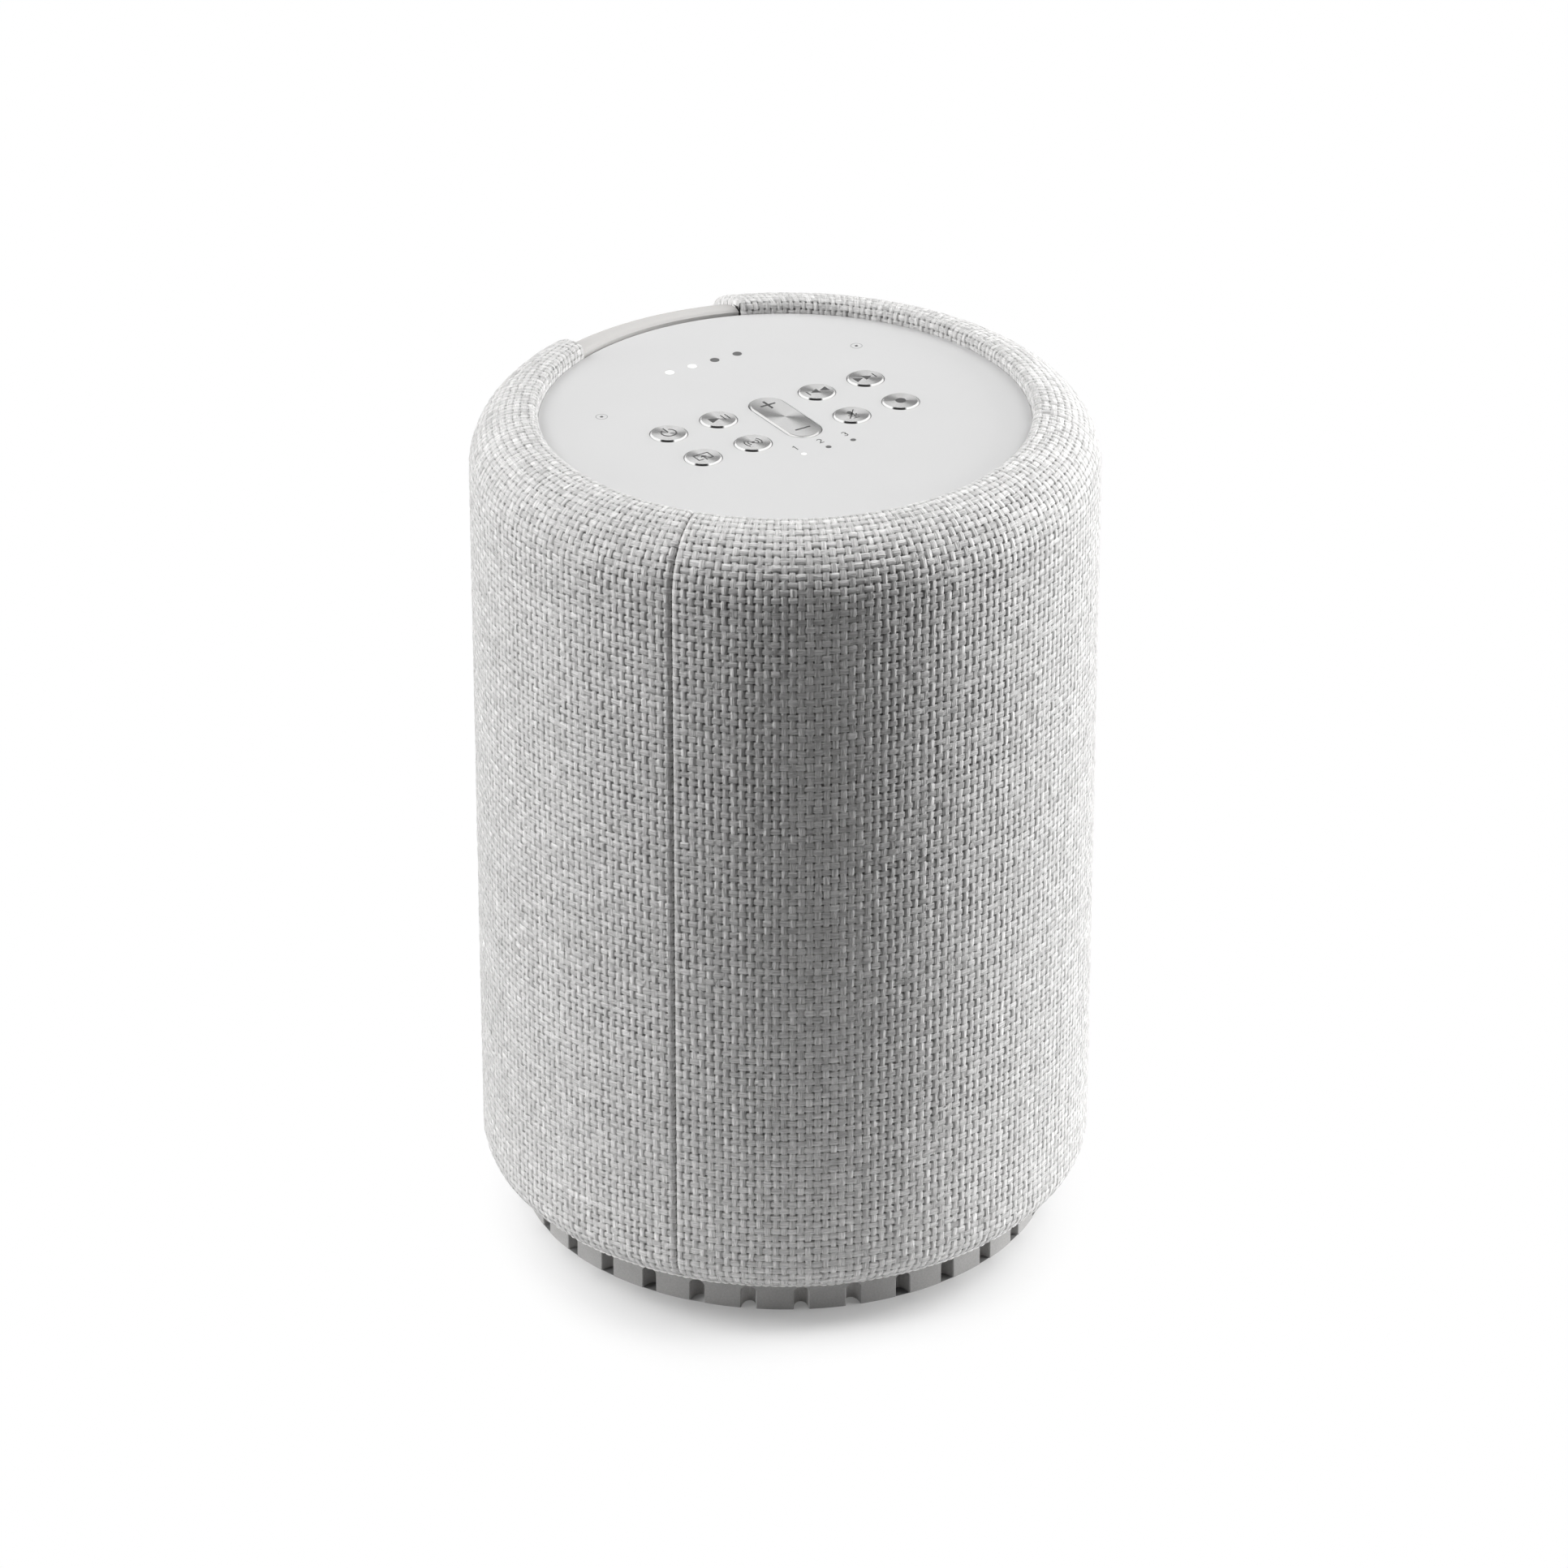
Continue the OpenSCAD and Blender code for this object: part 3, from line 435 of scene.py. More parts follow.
def side_drop(distance, style, n_r, z):
    """The fold of a panel's side, squarer where the panel faces the axis. An end is closed by a wall."""
    if style == "end":
        drop = folded(distance, style) * (1 - 0.92 * np.clip(-2.5 * n_r, 0, 1))
        return np.where(distance < 1e-7, -END_WALL, drop)
    down_lip = np.where(n_r < -0.5, np.clip((BODY_TOP - 1.6 * MM - z) / MM, 0, 1), 0)
    return folded(distance, style) * (1 - 0.65 * down_lip)


def grid_mesh(name, vertices, faces):
    """A smooth mesh from arrays of vertices and quads."""
    mesh = bpy.data.meshes.new(name)
    mesh.vertices.add(len(vertices))
    mesh.vertices.foreach_set("co", np.ascontiguousarray(vertices, np.float32).ravel())
    mesh.loops.add(faces.size)
    mesh.loops.foreach_set("vertex_index", faces.astype(np.int32).ravel())
    mesh.polygons.add(len(faces))
    mesh.polygons.foreach_set("loop_start", np.arange(0, faces.size, 4, dtype=np.int32))
    mesh.update(calc_edges=True)
    mesh.shade_smooth()
    return mesh


def fabric_material():
    """Flat fibrous ribbons of a light melange, each a little different in tone, with painted shade in the
    holes and at the ribbons' ends.
    """
    s = Shader("fabric_weave")
    yarn = s.attribute("yarn", "Vector")
    warp = s.math("GREATER_THAN", s.attribute("warp"), 0.5)
    xyz = s.add("ShaderNodeSeparateXYZ", {0: yarn})
    u, v = xyz.outputs[0], xyz.outputs[1]
    along = s.mix_value(warp, u, v)
    across = s.mix_value(warp, v, u)
    fibre_at = s.add("ShaderNodeCombineXYZ", {"X": s.math("MULTIPLY", across, 5.5),
                                              "Y": s.math("MULTIPLY", along, 0.55),
                                              "Z": s.math("MULTIPLY", warp, 37.0)}).outputs[0]
    fibre = s.ramp(s.noise(fibre_at, 1.0, 2.0, 0.6), 0.28, 0.72)
    fuzz = s.noise(yarn, 14.0, 2.0, 0.7)
    tone = s.math("MULTIPLY", s.attribute("tone"), s.math("MULTIPLY_ADD", fibre, 0.42, 0.79))
    # Painted shade in the holes and at the ribbons' ends
    tone = s.math("MULTIPLY", tone, s.mix_value(s.attribute("painted_cavity_shade"), 0.42, 1.0))
    colour = s.mix(1.0, grey(0.70, 0.008), s.shade(tone), "MULTIPLY")
    height = s.math("ADD", fibre, s.math("MULTIPLY", fuzz, 0.25))
    return s.surface(Base_Color=colour, Roughness=0.88, Sheen_Weight=0.15, Sheen_Roughness=0.5,
                     Normal=s.bump(height, 0.09 * MM, 0.9))


def make_fabric():
    weave = fabric_material()
    # The hem's creased bead is real shape; its paler colour is a painted highlight along the fold
    edge = finish("fabric_fold_painted_highlight", grey(0.92, 0.008), 0.9, grain=5000, depth=0.05, vary=0.25)
    front = -math.pi / 2

    def spine_side(sign):
        return lambda radius: math.pi / 2 + sign * np.arcsin(SPINE_HALF / radius)

    def seam(sign):
        return lambda radius: front + sign * SEAM_ANGLE + 0 * radius

    fabric_panel("fabric_front_panel", "fabric_front", lambda r: seam(-1)(r) + SEAM_GAP_ANGLE,
                 lambda r: seam(1)(r) - SEAM_GAP_ANGLE, ("over", "over"), 1, weave, FRONT_YARNS, edge)
    fabric_panel("fabric_left_panel", "fabric_left",
                 lambda r: spine_side(1)(r) - 2 * math.pi,
                 lambda r: seam(-1)(r) - SEAM_GAP_ANGLE, ("end", "under"), 2, weave, SIDE_YARNS, edge)
    fabric_panel("fabric_right_panel", "fabric_right", lambda r: seam(1)(r) + SEAM_GAP_ANGLE,
                 spine_side(-1), ("under", "end"), 3, weave, SIDE_YARNS, edge)


# ---------------------------------------------------------------- finishes of the CAD nodes
def finish(name, colour, roughness, metallic=0.0, grain=900.0, depth=0.02, vary=0.06, stretch=(1, 1, 1)):
    """A moulded, painted or metal surface, with grain in its bump, tone and gloss."""
    s = Shader(name)
    place = s.stretched(s.place(), stretch)
    fine, broad = s.noise(place, grain, 3.0, 0.6), s.noise(place, grain / 40, 2.0)
    tone = s.math("MULTIPLY_ADD", fine, vary, 1 - vary / 2)
    tone = s.math("MULTIPLY", tone, s.math("MULTIPLY_ADD", broad, vary * 0.6, 1 - vary * 0.3))
    rough = s.math("MULTIPLY_ADD", broad, 0.12, roughness - 0.06, clamp=True)
    return s.surface(Base_Color=s.mix(1.0, colour, s.shade(tone), "MULTIPLY"), Roughness=rough,
                     Metallic=metallic, Normal=s.bump(fine, depth * MM, 0.6))


def spun_metal(name, centre):
    """Metal turned about an upright axis at centre: rings on its face, and a bright cut chamfer."""
    s = Shader(name)
    from_axis = s.vector("MULTIPLY", s.vector("SUBTRACT", s.place(), (centre[0], centre[1], 0)), (1, 1, 0))
    radius = s.vector("LENGTH", from_axis, output="Value")
    rings = s.noise(s.add("ShaderNodeCombineXYZ", {"X": radius}).outputs[0], 9000.0, 2.0, 0.7)
    tone = s.math("MULTIPLY_ADD", rings, 0.06, 0.97)
    upright = s.dot(s.add("ShaderNodeTexCoord").outputs["Normal"], (0, 0, 1))
    rough = s.mix_value(s.ramp(upright, 0.85, 0.97), 0.10, 0.25)
    return s.surface(Base_Color=s.mix(1.0, grey(0.98, 0.004), s.shade(tone), "MULTIPLY"), Roughness=rough,
                     Metallic=1.0, Anisotropic=1.0, Tangent=s.vector("NORMALIZE", from_axis),
                     Normal=s.bump(rings, 0.004 * MM, 0.5))


def camera_side(s, place, from_axis):
    """1 within 13 degrees of the camera's direction from the axis, in plan, and 0 beyond 23 degrees. It
    picks the notches painted light rather than shade.
    """
    ahead = s.math("DIVIDE", s.math("MULTIPLY", s.dot(place, BACK), -1.0), from_axis)
    return s.ramp(ahead, 0.92, 0.975)


def foot_material():
    """Grained grey rubber, with painted light in the notches on the camera's side and painted shade in the
    others.
    """
    s = Shader("foot_grained_rubber")
    place = s.place()
    from_axis = s.vector("LENGTH", s.vector("MULTIPLY", place, (1, 1, 0)), output="Value")
    inside = s.ramp(from_axis, FOOT_R - 0.5 * MM, FOOT_R - 0.1 * MM)
    fine, broad = s.noise(place, 2600.0, 3.0, 0.6), s.noise(place, 160.0, 2.0)
    # Painted light inside the notches on the camera's side, 1.6 times the tone, and painted shade, 0.85
    # times, in the others
    notch_painted_light_and_shade = s.mix_value(camera_side(s, place, from_axis), 0.85, 1.6)
    tone = s.math("MULTIPLY", s.mix_value(inside, notch_painted_light_and_shade, 1.0), s.math("MULTIPLY_ADD", fine, 0.46, 0.77))
    tone = s.math("MULTIPLY", tone, s.math("MULTIPLY_ADD", broad, 0.16, 0.92))
    return s.surface(Base_Color=s.mix(1.0, grey(0.43, 0.012), s.shade(tone), "MULTIPLY"), Roughness=0.8,
                     Normal=s.bump(fine, 0.05 * MM, 0.6))


def lights_material():
    """Clear light pipes: two of the four status lights and one source light are lit."""
    s = Shader("light_pipe_lens")
    place = s.add("ShaderNodeSeparateXYZ", {0: s.place()})
    # The status lights stand at the back of the plate, the source lights at the front
    edge = s.mix_value(s.math("LESS_THAN", place.outputs[1], 0.0), 0.0, -0.003)
    lit = s.math("LESS_THAN", place.outputs[0], edge)
    grain = s.noise(s.place(), 1500.0)
    colour = s.mix(lit, grey(0.13), grey(0.95))
    shade = s.math("MULTIPLY_ADD", grain, 0.1, 0.95)
    glow = s.math("MULTIPLY", lit, 0.12)
    return s.surface(Base_Color=s.mix(1.0, colour, s.shade(shade), "MULTIPLY"), Roughness=0.35,
                     Emission_Color=(1, 1, 1, 1), Emission_Strength=glow)


def circuit_material():
    """Solder mask with copper tracks under it and pale pads."""
    s = Shader("circuit_board_mask")
    place = s.place()
    tracks = s.add("ShaderNodeTexBrick", {"Vector": place, "Scale": 260.0,
                                          "Mortar Size": 0.05, "Mortar Smooth": 0.1,
                                          "Color1": (0, 0, 0, 1), "Color2": (0, 0, 0, 1),
                                          "Mortar": (1, 1, 1, 1)}).outputs["Color"]
    pads = s.add("ShaderNodeTexVoronoi", {"Vector": place, "Scale": 380.0}).outputs["Distance"]
    pad = s.math("LESS_THAN", pads, 0.16)
    colour = s.mix(tracks, (0.012, 0.085, 0.035, 1), (0.03, 0.16, 0.07, 1))
    colour = s.mix(pad, colour, (0.62, 0.60, 0.52, 1))
    return s.surface(Base_Color=colour, Roughness=s.math("MULTIPLY_ADD", pad, -0.15, 0.42),
                     Normal=s.bump(tracks, 0.03 * MM, 0.5))


def centre_of(node):
    """Middle of a node in plan."""
    low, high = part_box(node)
    return (low[0] + high[0]) / 2, (low[1] + high[1]) / 2


def make_finishes():
    """A material for each slot of the record, put on the CAD nodes that name it. Each node of button
    metal gets its own, turned about its own middle."""
    made = {
        "fabric": finish("fabric_backing", grey(0.55), 0.9),
        "spine_plastic": finish("spine_satin_plastic", grey(0.57, 0.02), 0.7, grain=2600, depth=0.008,
                                vary=0.03),
        "plate_metal": finish("plate_bead_blasted", grey(0.685), 0.5, metallic=0.15, grain=3600,
                              depth=0.006, vary=0.03),
        "foot_rubber": foot_material(),
        "dark_plastic": finish("dark_moulded_plastic", grey(0.035), 0.5, grain=1800, depth=0.02),
        "black_plastic": finish("black_moulded_plastic", grey(0.018), 0.45, grain=1800, depth=0.02),
        "foam": finish("open_cell_foam", grey(0.06), 0.95, grain=1400, depth=0.15, vary=0.4),
        "steel": finish("bright_steel", grey(0.62), 0.3, metallic=1.0, grain=1200, depth=0.01),
        "black_steel": finish("blackened_steel", grey(0.05), 0.4, metallic=0.8, grain=1200, depth=0.01),
        "circuit_board": circuit_material(),
        "light_pipe": lights_material(),
        "black_rubber": finish("black_rubber", grey(0.02), 0.65, grain=900, depth=0.03),
        "ribbon": finish("ribbon_cable_skin", grey(0.5), 0.5, grain=700, depth=0.05, vary=0.2,
                         stretch=(3, 3, 0.1)),
        "wadding": finish("polyester_wadding", grey(0.75), 0.95, grain=500, depth=0.3, vary=0.3),
        "basket_metal": finish("cast_basket", grey(0.03), 0.5, metallic=0.6, grain=1500, depth=0.03),
        "ferrite": finish("ferrite", grey(0.045), 0.55, grain=2000, depth=0.02, vary=0.2),
        "neodymium": finish("nickel_plate", grey(0.55), 0.25, metallic=1.0, grain=2000, depth=0.005),
        "copper": finish("copper_winding", (0.72, 0.30, 0.14, 1), 0.35, metallic=1.0, grain=900, depth=0.05,
                         stretch=(0.1, 6, 0.1)),
        "spider_cloth": finish("spider_cloth", (0.50, 0.36, 0.16, 1), 0.85, grain=1600, depth=0.06,
                               vary=0.25),
        "cone_paper": finish("cone_paper", grey(0.022), 0.85, grain=1100, depth=0.06, vary=0.35),
        "dome_silk": finish("dome_silk", grey(0.03), 0.5, grain=3000, depth=0.02, vary=0.2),
        "heat_sink_aluminium": finish("heat_sink_aluminium", grey(0.55), 0.4, metallic=1.0, grain=800,
                                      depth=0.01, stretch=(8, 0.3, 1)),
        "capacitor_can": finish("capacitor_sleeve", (0.02, 0.03, 0.08, 1), 0.35, grain=1500, depth=0.01),
        "wire": finish("wire_insulation", (0.35, 0.02, 0.02, 1), 0.4, grain=900, depth=0.01),
    }
    for part in RECORD["subparts"]:
        node = part["node"]
        obj = frame["nodes"][node]
        obj.data.materials.clear()
        if part["material_slot"] == "button_metal":
            obj.data.materials.append(spun_metal(node + "_spun_metal", centre_of(node)))
        else:
            obj.data.materials.append(made[part["material_slot"]])
    return made


# ---------------------------------------------------------------- soft pieces inside
SECTORS = 12


def ring_sectors(name, node, profile, thickness, material):
    """A ring round the woofer's axis, in sectors between the basket and what moves.
    profile gives radius and place in millimetres, the place from the node's rear face, less to the front."""
    low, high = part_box(node)
    centre = np.array([(low[0] + high[0]) / 2, high[1], (low[2] + high[2]) / 2])
    line = np.array(profile, float)
    slope = np.gradient(line, axis=0)
    normal = np.stack([-slope[:, 1], slope[:, 0]], 1) / np.hypot(slope[:, 0], slope[:, 1])[:, None]
    loop = np.vstack([line + normal * thickness / 2, (line - normal * thickness / 2)[::-1]]) * MM
    for k in range(SECTORS):
        bm = bmesh.new()
        rows = []
        for angle in np.linspace(k, k + 1, 9) * 2 * math.pi / SECTORS:
            rows.append([bm.verts.new((centre[0] + r * math.cos(angle), centre[1] + y,
                                       centre[2] + r * math.sin(angle))) for r, y in loop])
        for first, second in zip(rows, rows[1:]):
            for a in range(len(loop)):
                b = (a + 1) % len(loop)
                bm.faces.new((first[a], first[b], second[b], second[a]))
        caps = [bm.faces.new(rows[0]), bm.faces.new(rows[-1])]
        for cap in caps:
            cap.normal_update()
        bmesh.ops.triangulate(bm, faces=caps)
        bmesh.ops.recalc_face_normals(bm, faces=bm.faces)
        piece = new_piece(f"{name}_{k + 1:02d}", bm, material)
        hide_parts(node)
        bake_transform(piece)


def new_piece(name, bm, material):
    """An object from a bmesh and material."""
    mesh = bpy.data.meshes.new(name)
    bm.to_mesh(mesh)
    bm.free()
    mesh.materials.append(material)
    piece = bpy.data.objects.new(name, mesh)
    bpy.context.scene.collection.objects.link(piece)
    return piece


def make_suspension(made):
    """The woofer's half-roll surround and corrugated spider."""
    turns = np.radians(np.linspace(170, 10, 17))
    roll = [(33.8 + 2.2 * math.cos(a), -0.8 - 2.2 * math.sin(a)) for a in turns]
    inner, outer = [(29.4, -0.4), (30.4, -0.4), (31.3, -0.5)], [(36.3, -0.5), (37.0, -0.4), (37.7, -0.4)]
    ring_sectors("surround_sector", "woofer_surround", inner + roll + outer, 0.7,
                 made["black_rubber"])
    reach = np.linspace(13.1, 27.8, 60)
    waves = 0.4 * np.sin((reach - 14.5) * 2 * math.pi / 2.4) * (reach > 14.5) * (reach < 26.5)
    ring_sectors("spider_sector", "woofer_spider", np.stack([reach, waves - 0.25], 1), 0.35,
                 made["spider_cloth"])


def make_wadding(made):
    """Loose wadding on the cabinet's floor: a lumpy pad with soft edges."""
    low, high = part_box("damping_wool")
    wide, thick, middle = high[0], (high[2] - low[2]) / 2, (high[2] + low[2]) / 2
    turns, rings = 96, 26
    angle = np.linspace(0, 2 * math.pi, turns, endpoint=False)
    side = np.sin(angle)
    flat = np.where(side < 0, low[1], high[1]) / np.where(np.abs(side) < 1e-6, 1e-6, side)
    edge = np.minimum(wide, flat)
    rng = np.random.default_rng(21)
    lump_range = ((0.04, 0.12), (60, 160), (60, 160), (0, 6))   # height, waves along x and y, phase
    lumps = [tuple(rng.uniform(*ends) for ends in lump_range) for lump in range(5)]
    bm = bmesh.new()
    layers = []
    for face in (1, -1):
        for t in np.linspace(0, 1, rings)[1:] if face > 0 else np.linspace(1, 0, rings)[1:-1]:
            x, y = edge * t * np.cos(angle), edge * t * side
            swell = math.sqrt(max(0.0, 1 - t ** 8))
            bumps = sum(size * np.sin(x * p + q) * np.cos(y * o + q) for size, p, o, q in lumps)
            z = middle + face * thick * swell * (0.85 + 0.3 * bumps.clip(-0.5, 0.5))
            layers.append([bm.verts.new(point) for point in zip(x, y, z)])
    for first, second in zip(layers, layers[1:]):
        for a in range(turns):
            b = (a + 1) % turns
            bm.faces.new((first[a], first[b], second[b], second[a]))
    for face, layer in ((1, layers[0]), (-1, layers[-1])):
        tip = bm.verts.new((0, 0, middle + face * thick * 0.85))
        for a in range(turns):
            bm.faces.new((tip, layer[a], layer[(a + 1) % turns]))
    bmesh.ops.recalc_face_normals(bm, faces=bm.faces)
    for item in bm.faces:
        item.smooth = True
    piece = new_piece("wadding_pad", bm, made["wadding"])
    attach(piece, "root")
    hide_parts("damping_wool")


# ---------------------------------------------------------------- printed marks, and painted shade at the microphone holes
def stroke(points, width):
    """Outline of a line of that width through the points, with square ends."""
    p = np.array(points, float)
    before, after = np.vstack([2 * p[0] - p[1], p[:-1]]), np.vstack([p[1:], 2 * p[-1] - p[-2]])
    d0, d1 = p - before, after - p
    d0, d1 = d0 / np.linalg.norm(d0, axis=1)[:, None], d1 / np.linalg.norm(d1, axis=1)[:, None]
    mid = d0 + d1
    mid /= np.linalg.norm(mid, axis=1)[:, None]
    side = np.stack([-mid[:, 1], mid[:, 0]], 1)
    reach = width / 2 / np.maximum(0.4, (side * np.stack([-d1[:, 1], d1[:, 0]], 1)).sum(1))
    left, right = p + side * reach[:, None], p - side * reach[:, None]
    return [np.vstack([left, right[::-1]])]


def circle_points(radius, start=0.0, end=360.0, count=32, centre=(0, 0)):
    a = np.radians(np.linspace(start, end, count))
    return np.stack([centre[0] + radius * np.cos(a), centre[1] + radius * np.sin(a)], 1)


def bar(x0, y0, x1, y1):
    return [np.array([(x0, y0), (x1, y0), (x1, y1), (x0, y1)], float)]


def thin_piece(name, outlines, centre, z, body, material, thickness=0.03 * MM, rings=()):
    """Flat inlay from closed outlines in millimetres about centre, standing on height z."""
    bm = bmesh.new()
    sink = 0.05 * MM
    for outline in outlines:
        wall(bm, [outline], centre, z - sink, z + thickness)
    for outer, inner in rings:
        wall(bm, [outer, inner], centre, z - sink, z + thickness)
    bmesh.ops.recalc_face_normals(bm, faces=bm.faces)
    mesh = bpy.data.meshes.new(name)
    bm.to_mesh(mesh)
    bm.free()
    mesh.materials.append(material)
    piece = bpy.data.objects.new(name, mesh)
    bpy.context.scene.collection.objects.link(piece)
    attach(piece, body)
    return piece


def wall(bm, loops, centre, low, high):
    """A prism over one outline, or between an outer and an inner outline of equal length."""
    def raised(outline, z):
        return [bm.verts.new((centre[0] + x * MM, centre[1] + y * MM, z)) for x, y in outline]

    layers = [[raised(loop, z) for z in (low, high)] for loop in loops]
    for bottom, top in layers:
        for a in range(len(top)):
            b = (a + 1) % len(top)
            bm.faces.new((bottom[a], bottom[b], top[b], top[a]))
    if len(loops) == 1:
        bottom, top = layers[0]
        caps = [bm.faces.new(top), bm.faces.new(bottom)]
        for cap in caps:
            cap.normal_update()
        bmesh.ops.triangulate(bm, faces=caps)
    else:
        (bottom0, top0), (bottom1, top1) = layers
        for a in range(len(top0)):
            b = (a + 1) % len(top0)
            bm.faces.new((top0[a], top0[b], top1[b], top1[a]))
            bm.faces.new((bottom0[a], bottom0[b], bottom1[b], bottom1[a]))


def triangle(tip_x, base_x, half):
    return [np.array([(tip_x, 0), (base_x, half), (base_x, -half)], float)]


def icon_outlines():
    """The mark on each button, in millimetres about the button's centre."""
    ring = stroke(circle_points(1.63, 118, 422), 0.3)
    broadcast = [circle_points(0.42, count=20)[:-1]]
    for r in (1.15, 1.9):
        for turn in (0, 180):
            broadcast += stroke(circle_points(r, turn - 42, turn + 42, 14), 0.26)
    capsule = np.vstack([circle_points(0.5, 0, 180, 10, (0, 1.1)),
                         circle_points(0.5, 180, 360, 10, (0, 0.1))])
    mic = [capsule] + stroke(circle_points(1.0, 190, 350, 16, (0, 0.1)), 0.24)
    mic += bar(-0.12, -1.75, 0.12, -1.05) + bar(-0.7, -1.98, 0.7, -1.77)
    screen = stroke([(-0.55, -1.2), (-1.75, -1.2), (-1.75, 1.2), (1.75, 1.2), (1.75, -1.2),
                     (0.55, -1.2)], 0.26)
    arrow = [np.array([(-0.13, -1.7), (0.13, -1.7), (0.13, -0.2), (0.75, -0.2), (0, 0.65),
                       (-0.75, -0.2), (-0.13, -0.2)])]
    return {
        "power": ring + bar(-0.15, 0.3, 0.15, 2.4),
        "play": triangle(0.25, -2.1, 1.1) + bar(1.05, -1.15, 1.32, 1.15) + bar(2.1, -1.15, 2.37, 1.15),
        "previous": bar(-2.35, -0.95, -2.08, 0.95) + triangle(-1.5, 0.4, 1.04) + triangle(0.75, 2.65, 1.04),
        "next": bar(2.08, -0.95, 2.35, 0.95) + triangle(1.5, -0.4, 1.04) + triangle(-0.75, -2.65, 1.04),
        "cast": screen + arrow,
        "wireless": broadcast,
        "mic_mute": mic + stroke([(-1.5, -1.6), (1.5, 1.8)], 0.26),
        "favorite": [circle_points(1.15, count=33)[:-1]],
    }


def make_marks():
    ink = finish("printed_ink", grey(0.085), 0.7, grain=3000, depth=0.004)
    # Painted shade for the groove round each microphone hole
    pale = finish("mic_groove_painted_shade", grey(0.33), 0.6, grain=3000, depth=0.004)
    for name, outlines in icon_outlines().items():
        node = "button_" + name
        thin_piece("icon_" + name, outlines, centre_of(node), span(node, 2)[1], node, ink)
    row, rocker_top = centre_of("button_play")[1], span("volume_rocker", 2)[1]
    arm, half = 1.85, 0.26
    plus = [np.array([(-arm, -half), (-half, -half), (-half, -arm), (half, -arm),
                      (half, -half), (arm, -half), (arm, half), (half, half),
                      (half, arm), (-half, arm), (-half, half), (-arm, half)])]
    thin_piece("icon_louder", plus, (0, row), rocker_top, "volume_rocker", ink)
    thin_piece("icon_quieter", bar(-arm, -0.22, arm, 0.22), (0, -row), rocker_top, "volume_rocker",
               ink)
    make_numerals(ink)
    for side in (-1, 1):
        rings = [(circle_points(1.32, count=33)[:-1], circle_points(1.17, count=33)[:-1])]
        which, hole = "left" if side < 0 else "right", (side * MIC_X, MIC_Y)
        # A ring of painted shade for the groove round the hole
        thin_piece("mic_ring_" + which, [], hole, PLATE_Z, "root", pale, 0.01 * MM, rings)
        # A dark disc low in each hole: a dust mesh, and painted shade for the hole
        thin_piece("mic_hole_dark_disc_" + which, [circle_points(0.39, count=17)[:-1]], hole, PLATE_Z - 0.12 * MM,
                   "root", ink, 0.0)


def soften(node, width):
    """Round the sharp edges of a moulded node."""
    bevel = frame["nodes"][node].modifiers.new("moulded_edges", "BEVEL")
    bevel.width, bevel.segments = width, 3
    bevel.limit_method, bevel.angle_limit = "ANGLE", math.radians(50)


def make_numerals(ink):
    """Generic numbers 1 to 3 behind the three source lights."""
    two = np.vstack([circle_points(0.45, 160, -40, 12, (0, 0.4)), [(-0.45, -0.85), (0.5, -0.85)]])
    three = np.vstack([circle_points(0.42, 150, -75, 12, (0, 0.42)),
                       circle_points(0.47, 75, -150, 12, (0, -0.42))])
    one = [(-0.35, 0.55), (0.05, 0.85), (0.05, -0.9)]
    shapes = [stroke(points, 0.2) for points in (one, two, three)]
    pitch = 6.2 * MM                           # from one source light to the next
    y = span("light_pipes", 1)[0] + 3.9 * MM   # just behind the row of source lights
    for number, outlines in enumerate(shapes, 1):
        thin_piece(f"numeral_{number}", outlines, ((number - 2) * pitch, y), PLATE_Z, "root",
                   ink)


# ---------------------------------------------------------------- studio
BODY_MIDDLE = Vector((0, 0, 0.09))
SOFTBOX_SIZE = 0.75
SOFTBOX_REACH = 1.3   # from the axis to each lamp
# Azimuth from BACK towards RIGHT and height, in degrees, and power
SOFTBOXES = {"softbox_left_low": (-100, 14, 10.2), "softbox_left_high": (-90, 50, 10.9),
             "softbox_right_low": (82, 14, 20.0), "softbox_right_high": (70, 50, 10.4)}
# What the metal mirrors beside white: azimuth and height as above, inner and outer radius, all in
# degrees, and how dark it is
DARK_PATCHES = [(-165, 63, 24, 34, 0.97), (20.5, 25, 17.4, 18.4, 0.85), (-7, 3, 20, 26.5, 0.72)]


def softbox(name, place, power):
    """A square lamp that faces the middle of the speaker."""
    data = bpy.data.lights.new(name, "AREA")
    data.shape = "RECTANGLE"
    data.size, data.size_y = SOFTBOX_SIZE, SOFTBOX_SIZE
    data.energy = power
    lamp = bpy.data.objects.new(name, data)
    bpy.context.scene.collection.objects.link(lamp)
    lamp.location = place
    lamp.rotation_euler = (BODY_MIDDLE - place).to_track_quat("-Z", "Y").to_euler()
    lamp.visible_glossy = False   # the world gives the reflections


def direction(azimuth, height):
    """Unit vector to a place in the studio. The azimuth turns from BACK towards RIGHT, in degrees."""
    a, e = math.radians(azimuth), math.radians(height)
    return (RIGHT * math.sin(a) + BACK * math.cos(a)) * math.cos(e) + UP * math.sin(e)


def make_studio():
    for name, (azimuth, height, power) in SOFTBOXES.items():
        softbox(name, direction(azimuth, height) * SOFTBOX_REACH, power)

    bpy.context.scene.world = studio_world()
    floor = bpy.data.objects.new("floor", bpy.data.meshes.new("floor"))
    bm = bmesh.new()
    bmesh.ops.create_grid(bm, x_segments=8, y_segments=8, size=8.0)
    bm.to_mesh(floor.data)
    bm.free()
    bpy.context.scene.collection.objects.link(floor)
    floor.data.materials.append(floor_material())
    view = bpy.context.scene.view_settings
    view.view_transform = "Standard"


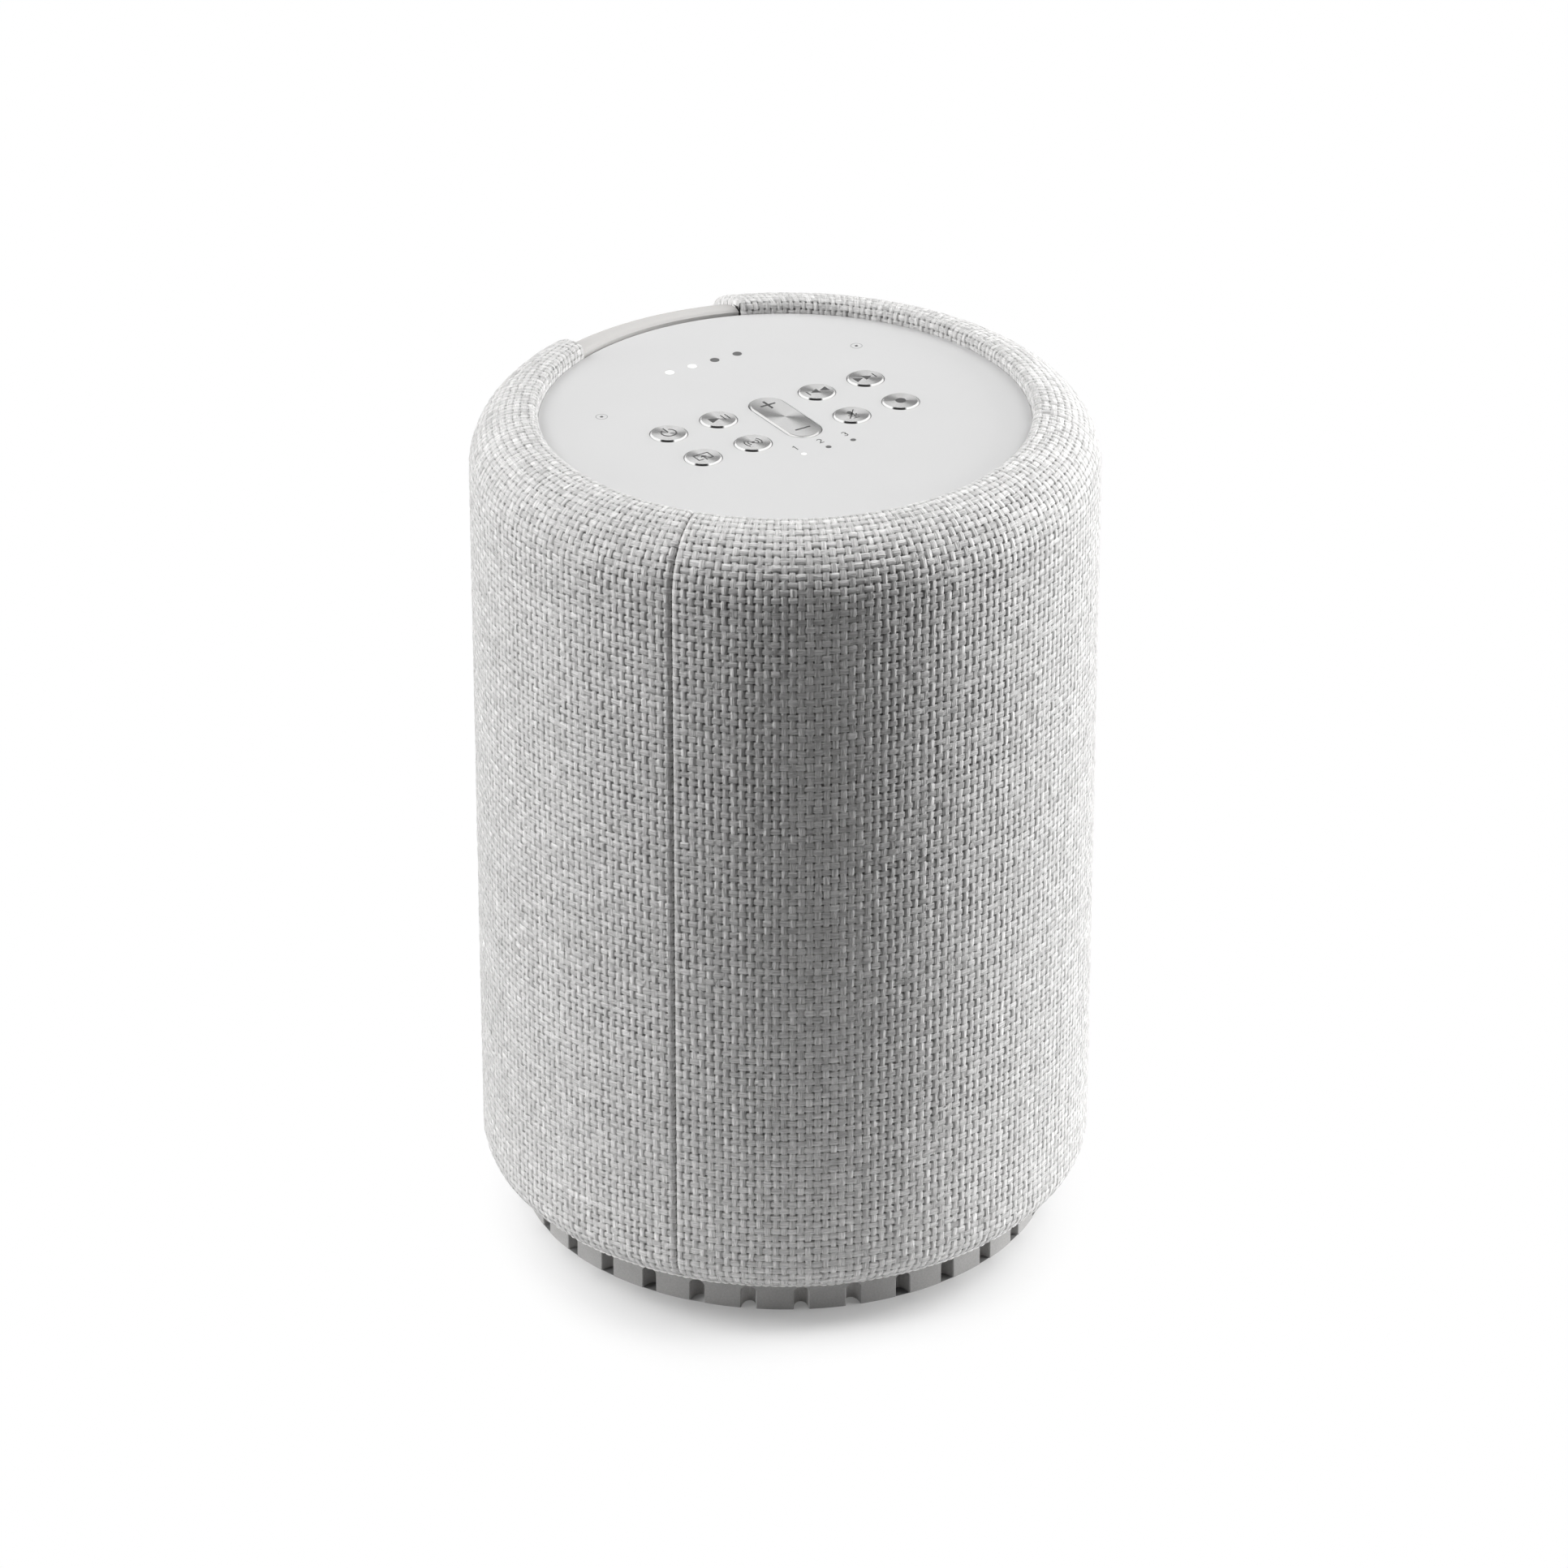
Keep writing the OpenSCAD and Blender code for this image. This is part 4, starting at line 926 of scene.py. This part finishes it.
def studio_world():
    """Dim light all round. Seen, it is white. Mirrored, it is white but for a few dark patches."""
    s = Shader("studio", world=True)
    toward = s.add("ShaderNodeTexCoord").outputs["Generated"]

    def patch(azimuth, height, inner, outer):
        """1 within inner degrees of a direction, 0 beyond outer degrees."""
        near = s.dot(toward, direction(azimuth, height))
        return s.ramp(near, math.cos(math.radians(outer)), math.cos(math.radians(inner)))

    mirrored = 1.0
    for azimuth, height, inner, outer, depth in DARK_PATCHES:
        near = patch(azimuth, height, inner, outer)
        mirrored = s.math("MULTIPLY", mirrored, s.math("MULTIPLY_ADD", near, -depth, 1.0))
    bright = s.mix_value(s.rays("Is Glossy Ray"), 1.0, mirrored)
    dim = s.add("ShaderNodeBackground", {"Color": grey(1), "Strength": 0.02}).outputs[0]
    white = s.add("ShaderNodeBackground", {"Color": s.shade(bright), "Strength": 1.0}).outputs[0]
    seen = s.rays("Is Camera Ray", "Is Glossy Ray", "Is Transmission Ray")
    s.put(s.out.inputs[0], s.mix_shader(seen, dim, white))
    return s.owner


def floor_material():
    """White floor that keeps the object's shadow in a soft oval round the foot. To the object it is
    a grey floor, which is darker further out."""
    s = Shader("studio_floor")
    place = s.place()
    # Distance from the oval's middle. It is narrower across the camera's view and lies towards the camera
    across = s.math("MULTIPLY", s.dot(place, RIGHT), 1.2)
    along = s.math("ADD", s.dot(place, BACK), 9 * MM)
    across_2, along_2 = s.math("MULTIPLY", across, across), s.math("MULTIPLY", along, along)
    reach = s.math("SQRT", s.math("ADD", across_2, along_2))
    far = s.mix_value(s.ramp(reach, 54 * MM, 82 * MM), 0.11, 1.0)
    # Painted shade: the floor is darker inside the notches, but for those on the camera's side
    from_axis = s.vector("LENGTH", s.vector("MULTIPLY", place, (1, 1, 0)), output="Value")
    floor_without_painted_shade = s.math("MAXIMUM", s.ramp(from_axis, FOOT_R - 0.25 * MM, FOOT_R - 0.05 * MM),
                        camera_side(s, place, from_axis))
    far = s.math("MULTIPLY", far, floor_without_painted_shade)
    tone = s.mix(floor_without_painted_shade, grey(0.22), grey(0.80))
    diffuse = s.add("ShaderNodeBsdfDiffuse", {"Color": tone}).outputs[0]
    lift = s.mix(s.ramp(reach, 0.10, 0.24), grey(0.70), grey(0.10))
    bounce = s.add("ShaderNodeBsdfDiffuse", {"Color": lift}).outputs[0]
    white = s.add("ShaderNodeEmission", {"Color": grey(1), "Strength": 1.0}).outputs[0]
    shown = s.mix_shader(far, diffuse, white)
    seen = s.rays("Is Camera Ray", "Is Glossy Ray", "Is Transmission Ray")
    s.put(s.out.inputs[0], s.mix_shader(seen, bounce, shown))
    return s.owner


# ---------------------------------------------------------------- build
make_camera()
finishes = make_finishes()
make_fabric()
make_suspension(finishes)
make_wadding(finishes)
make_marks()
soften("foot_pad", 0.45 * MM)
make_studio()
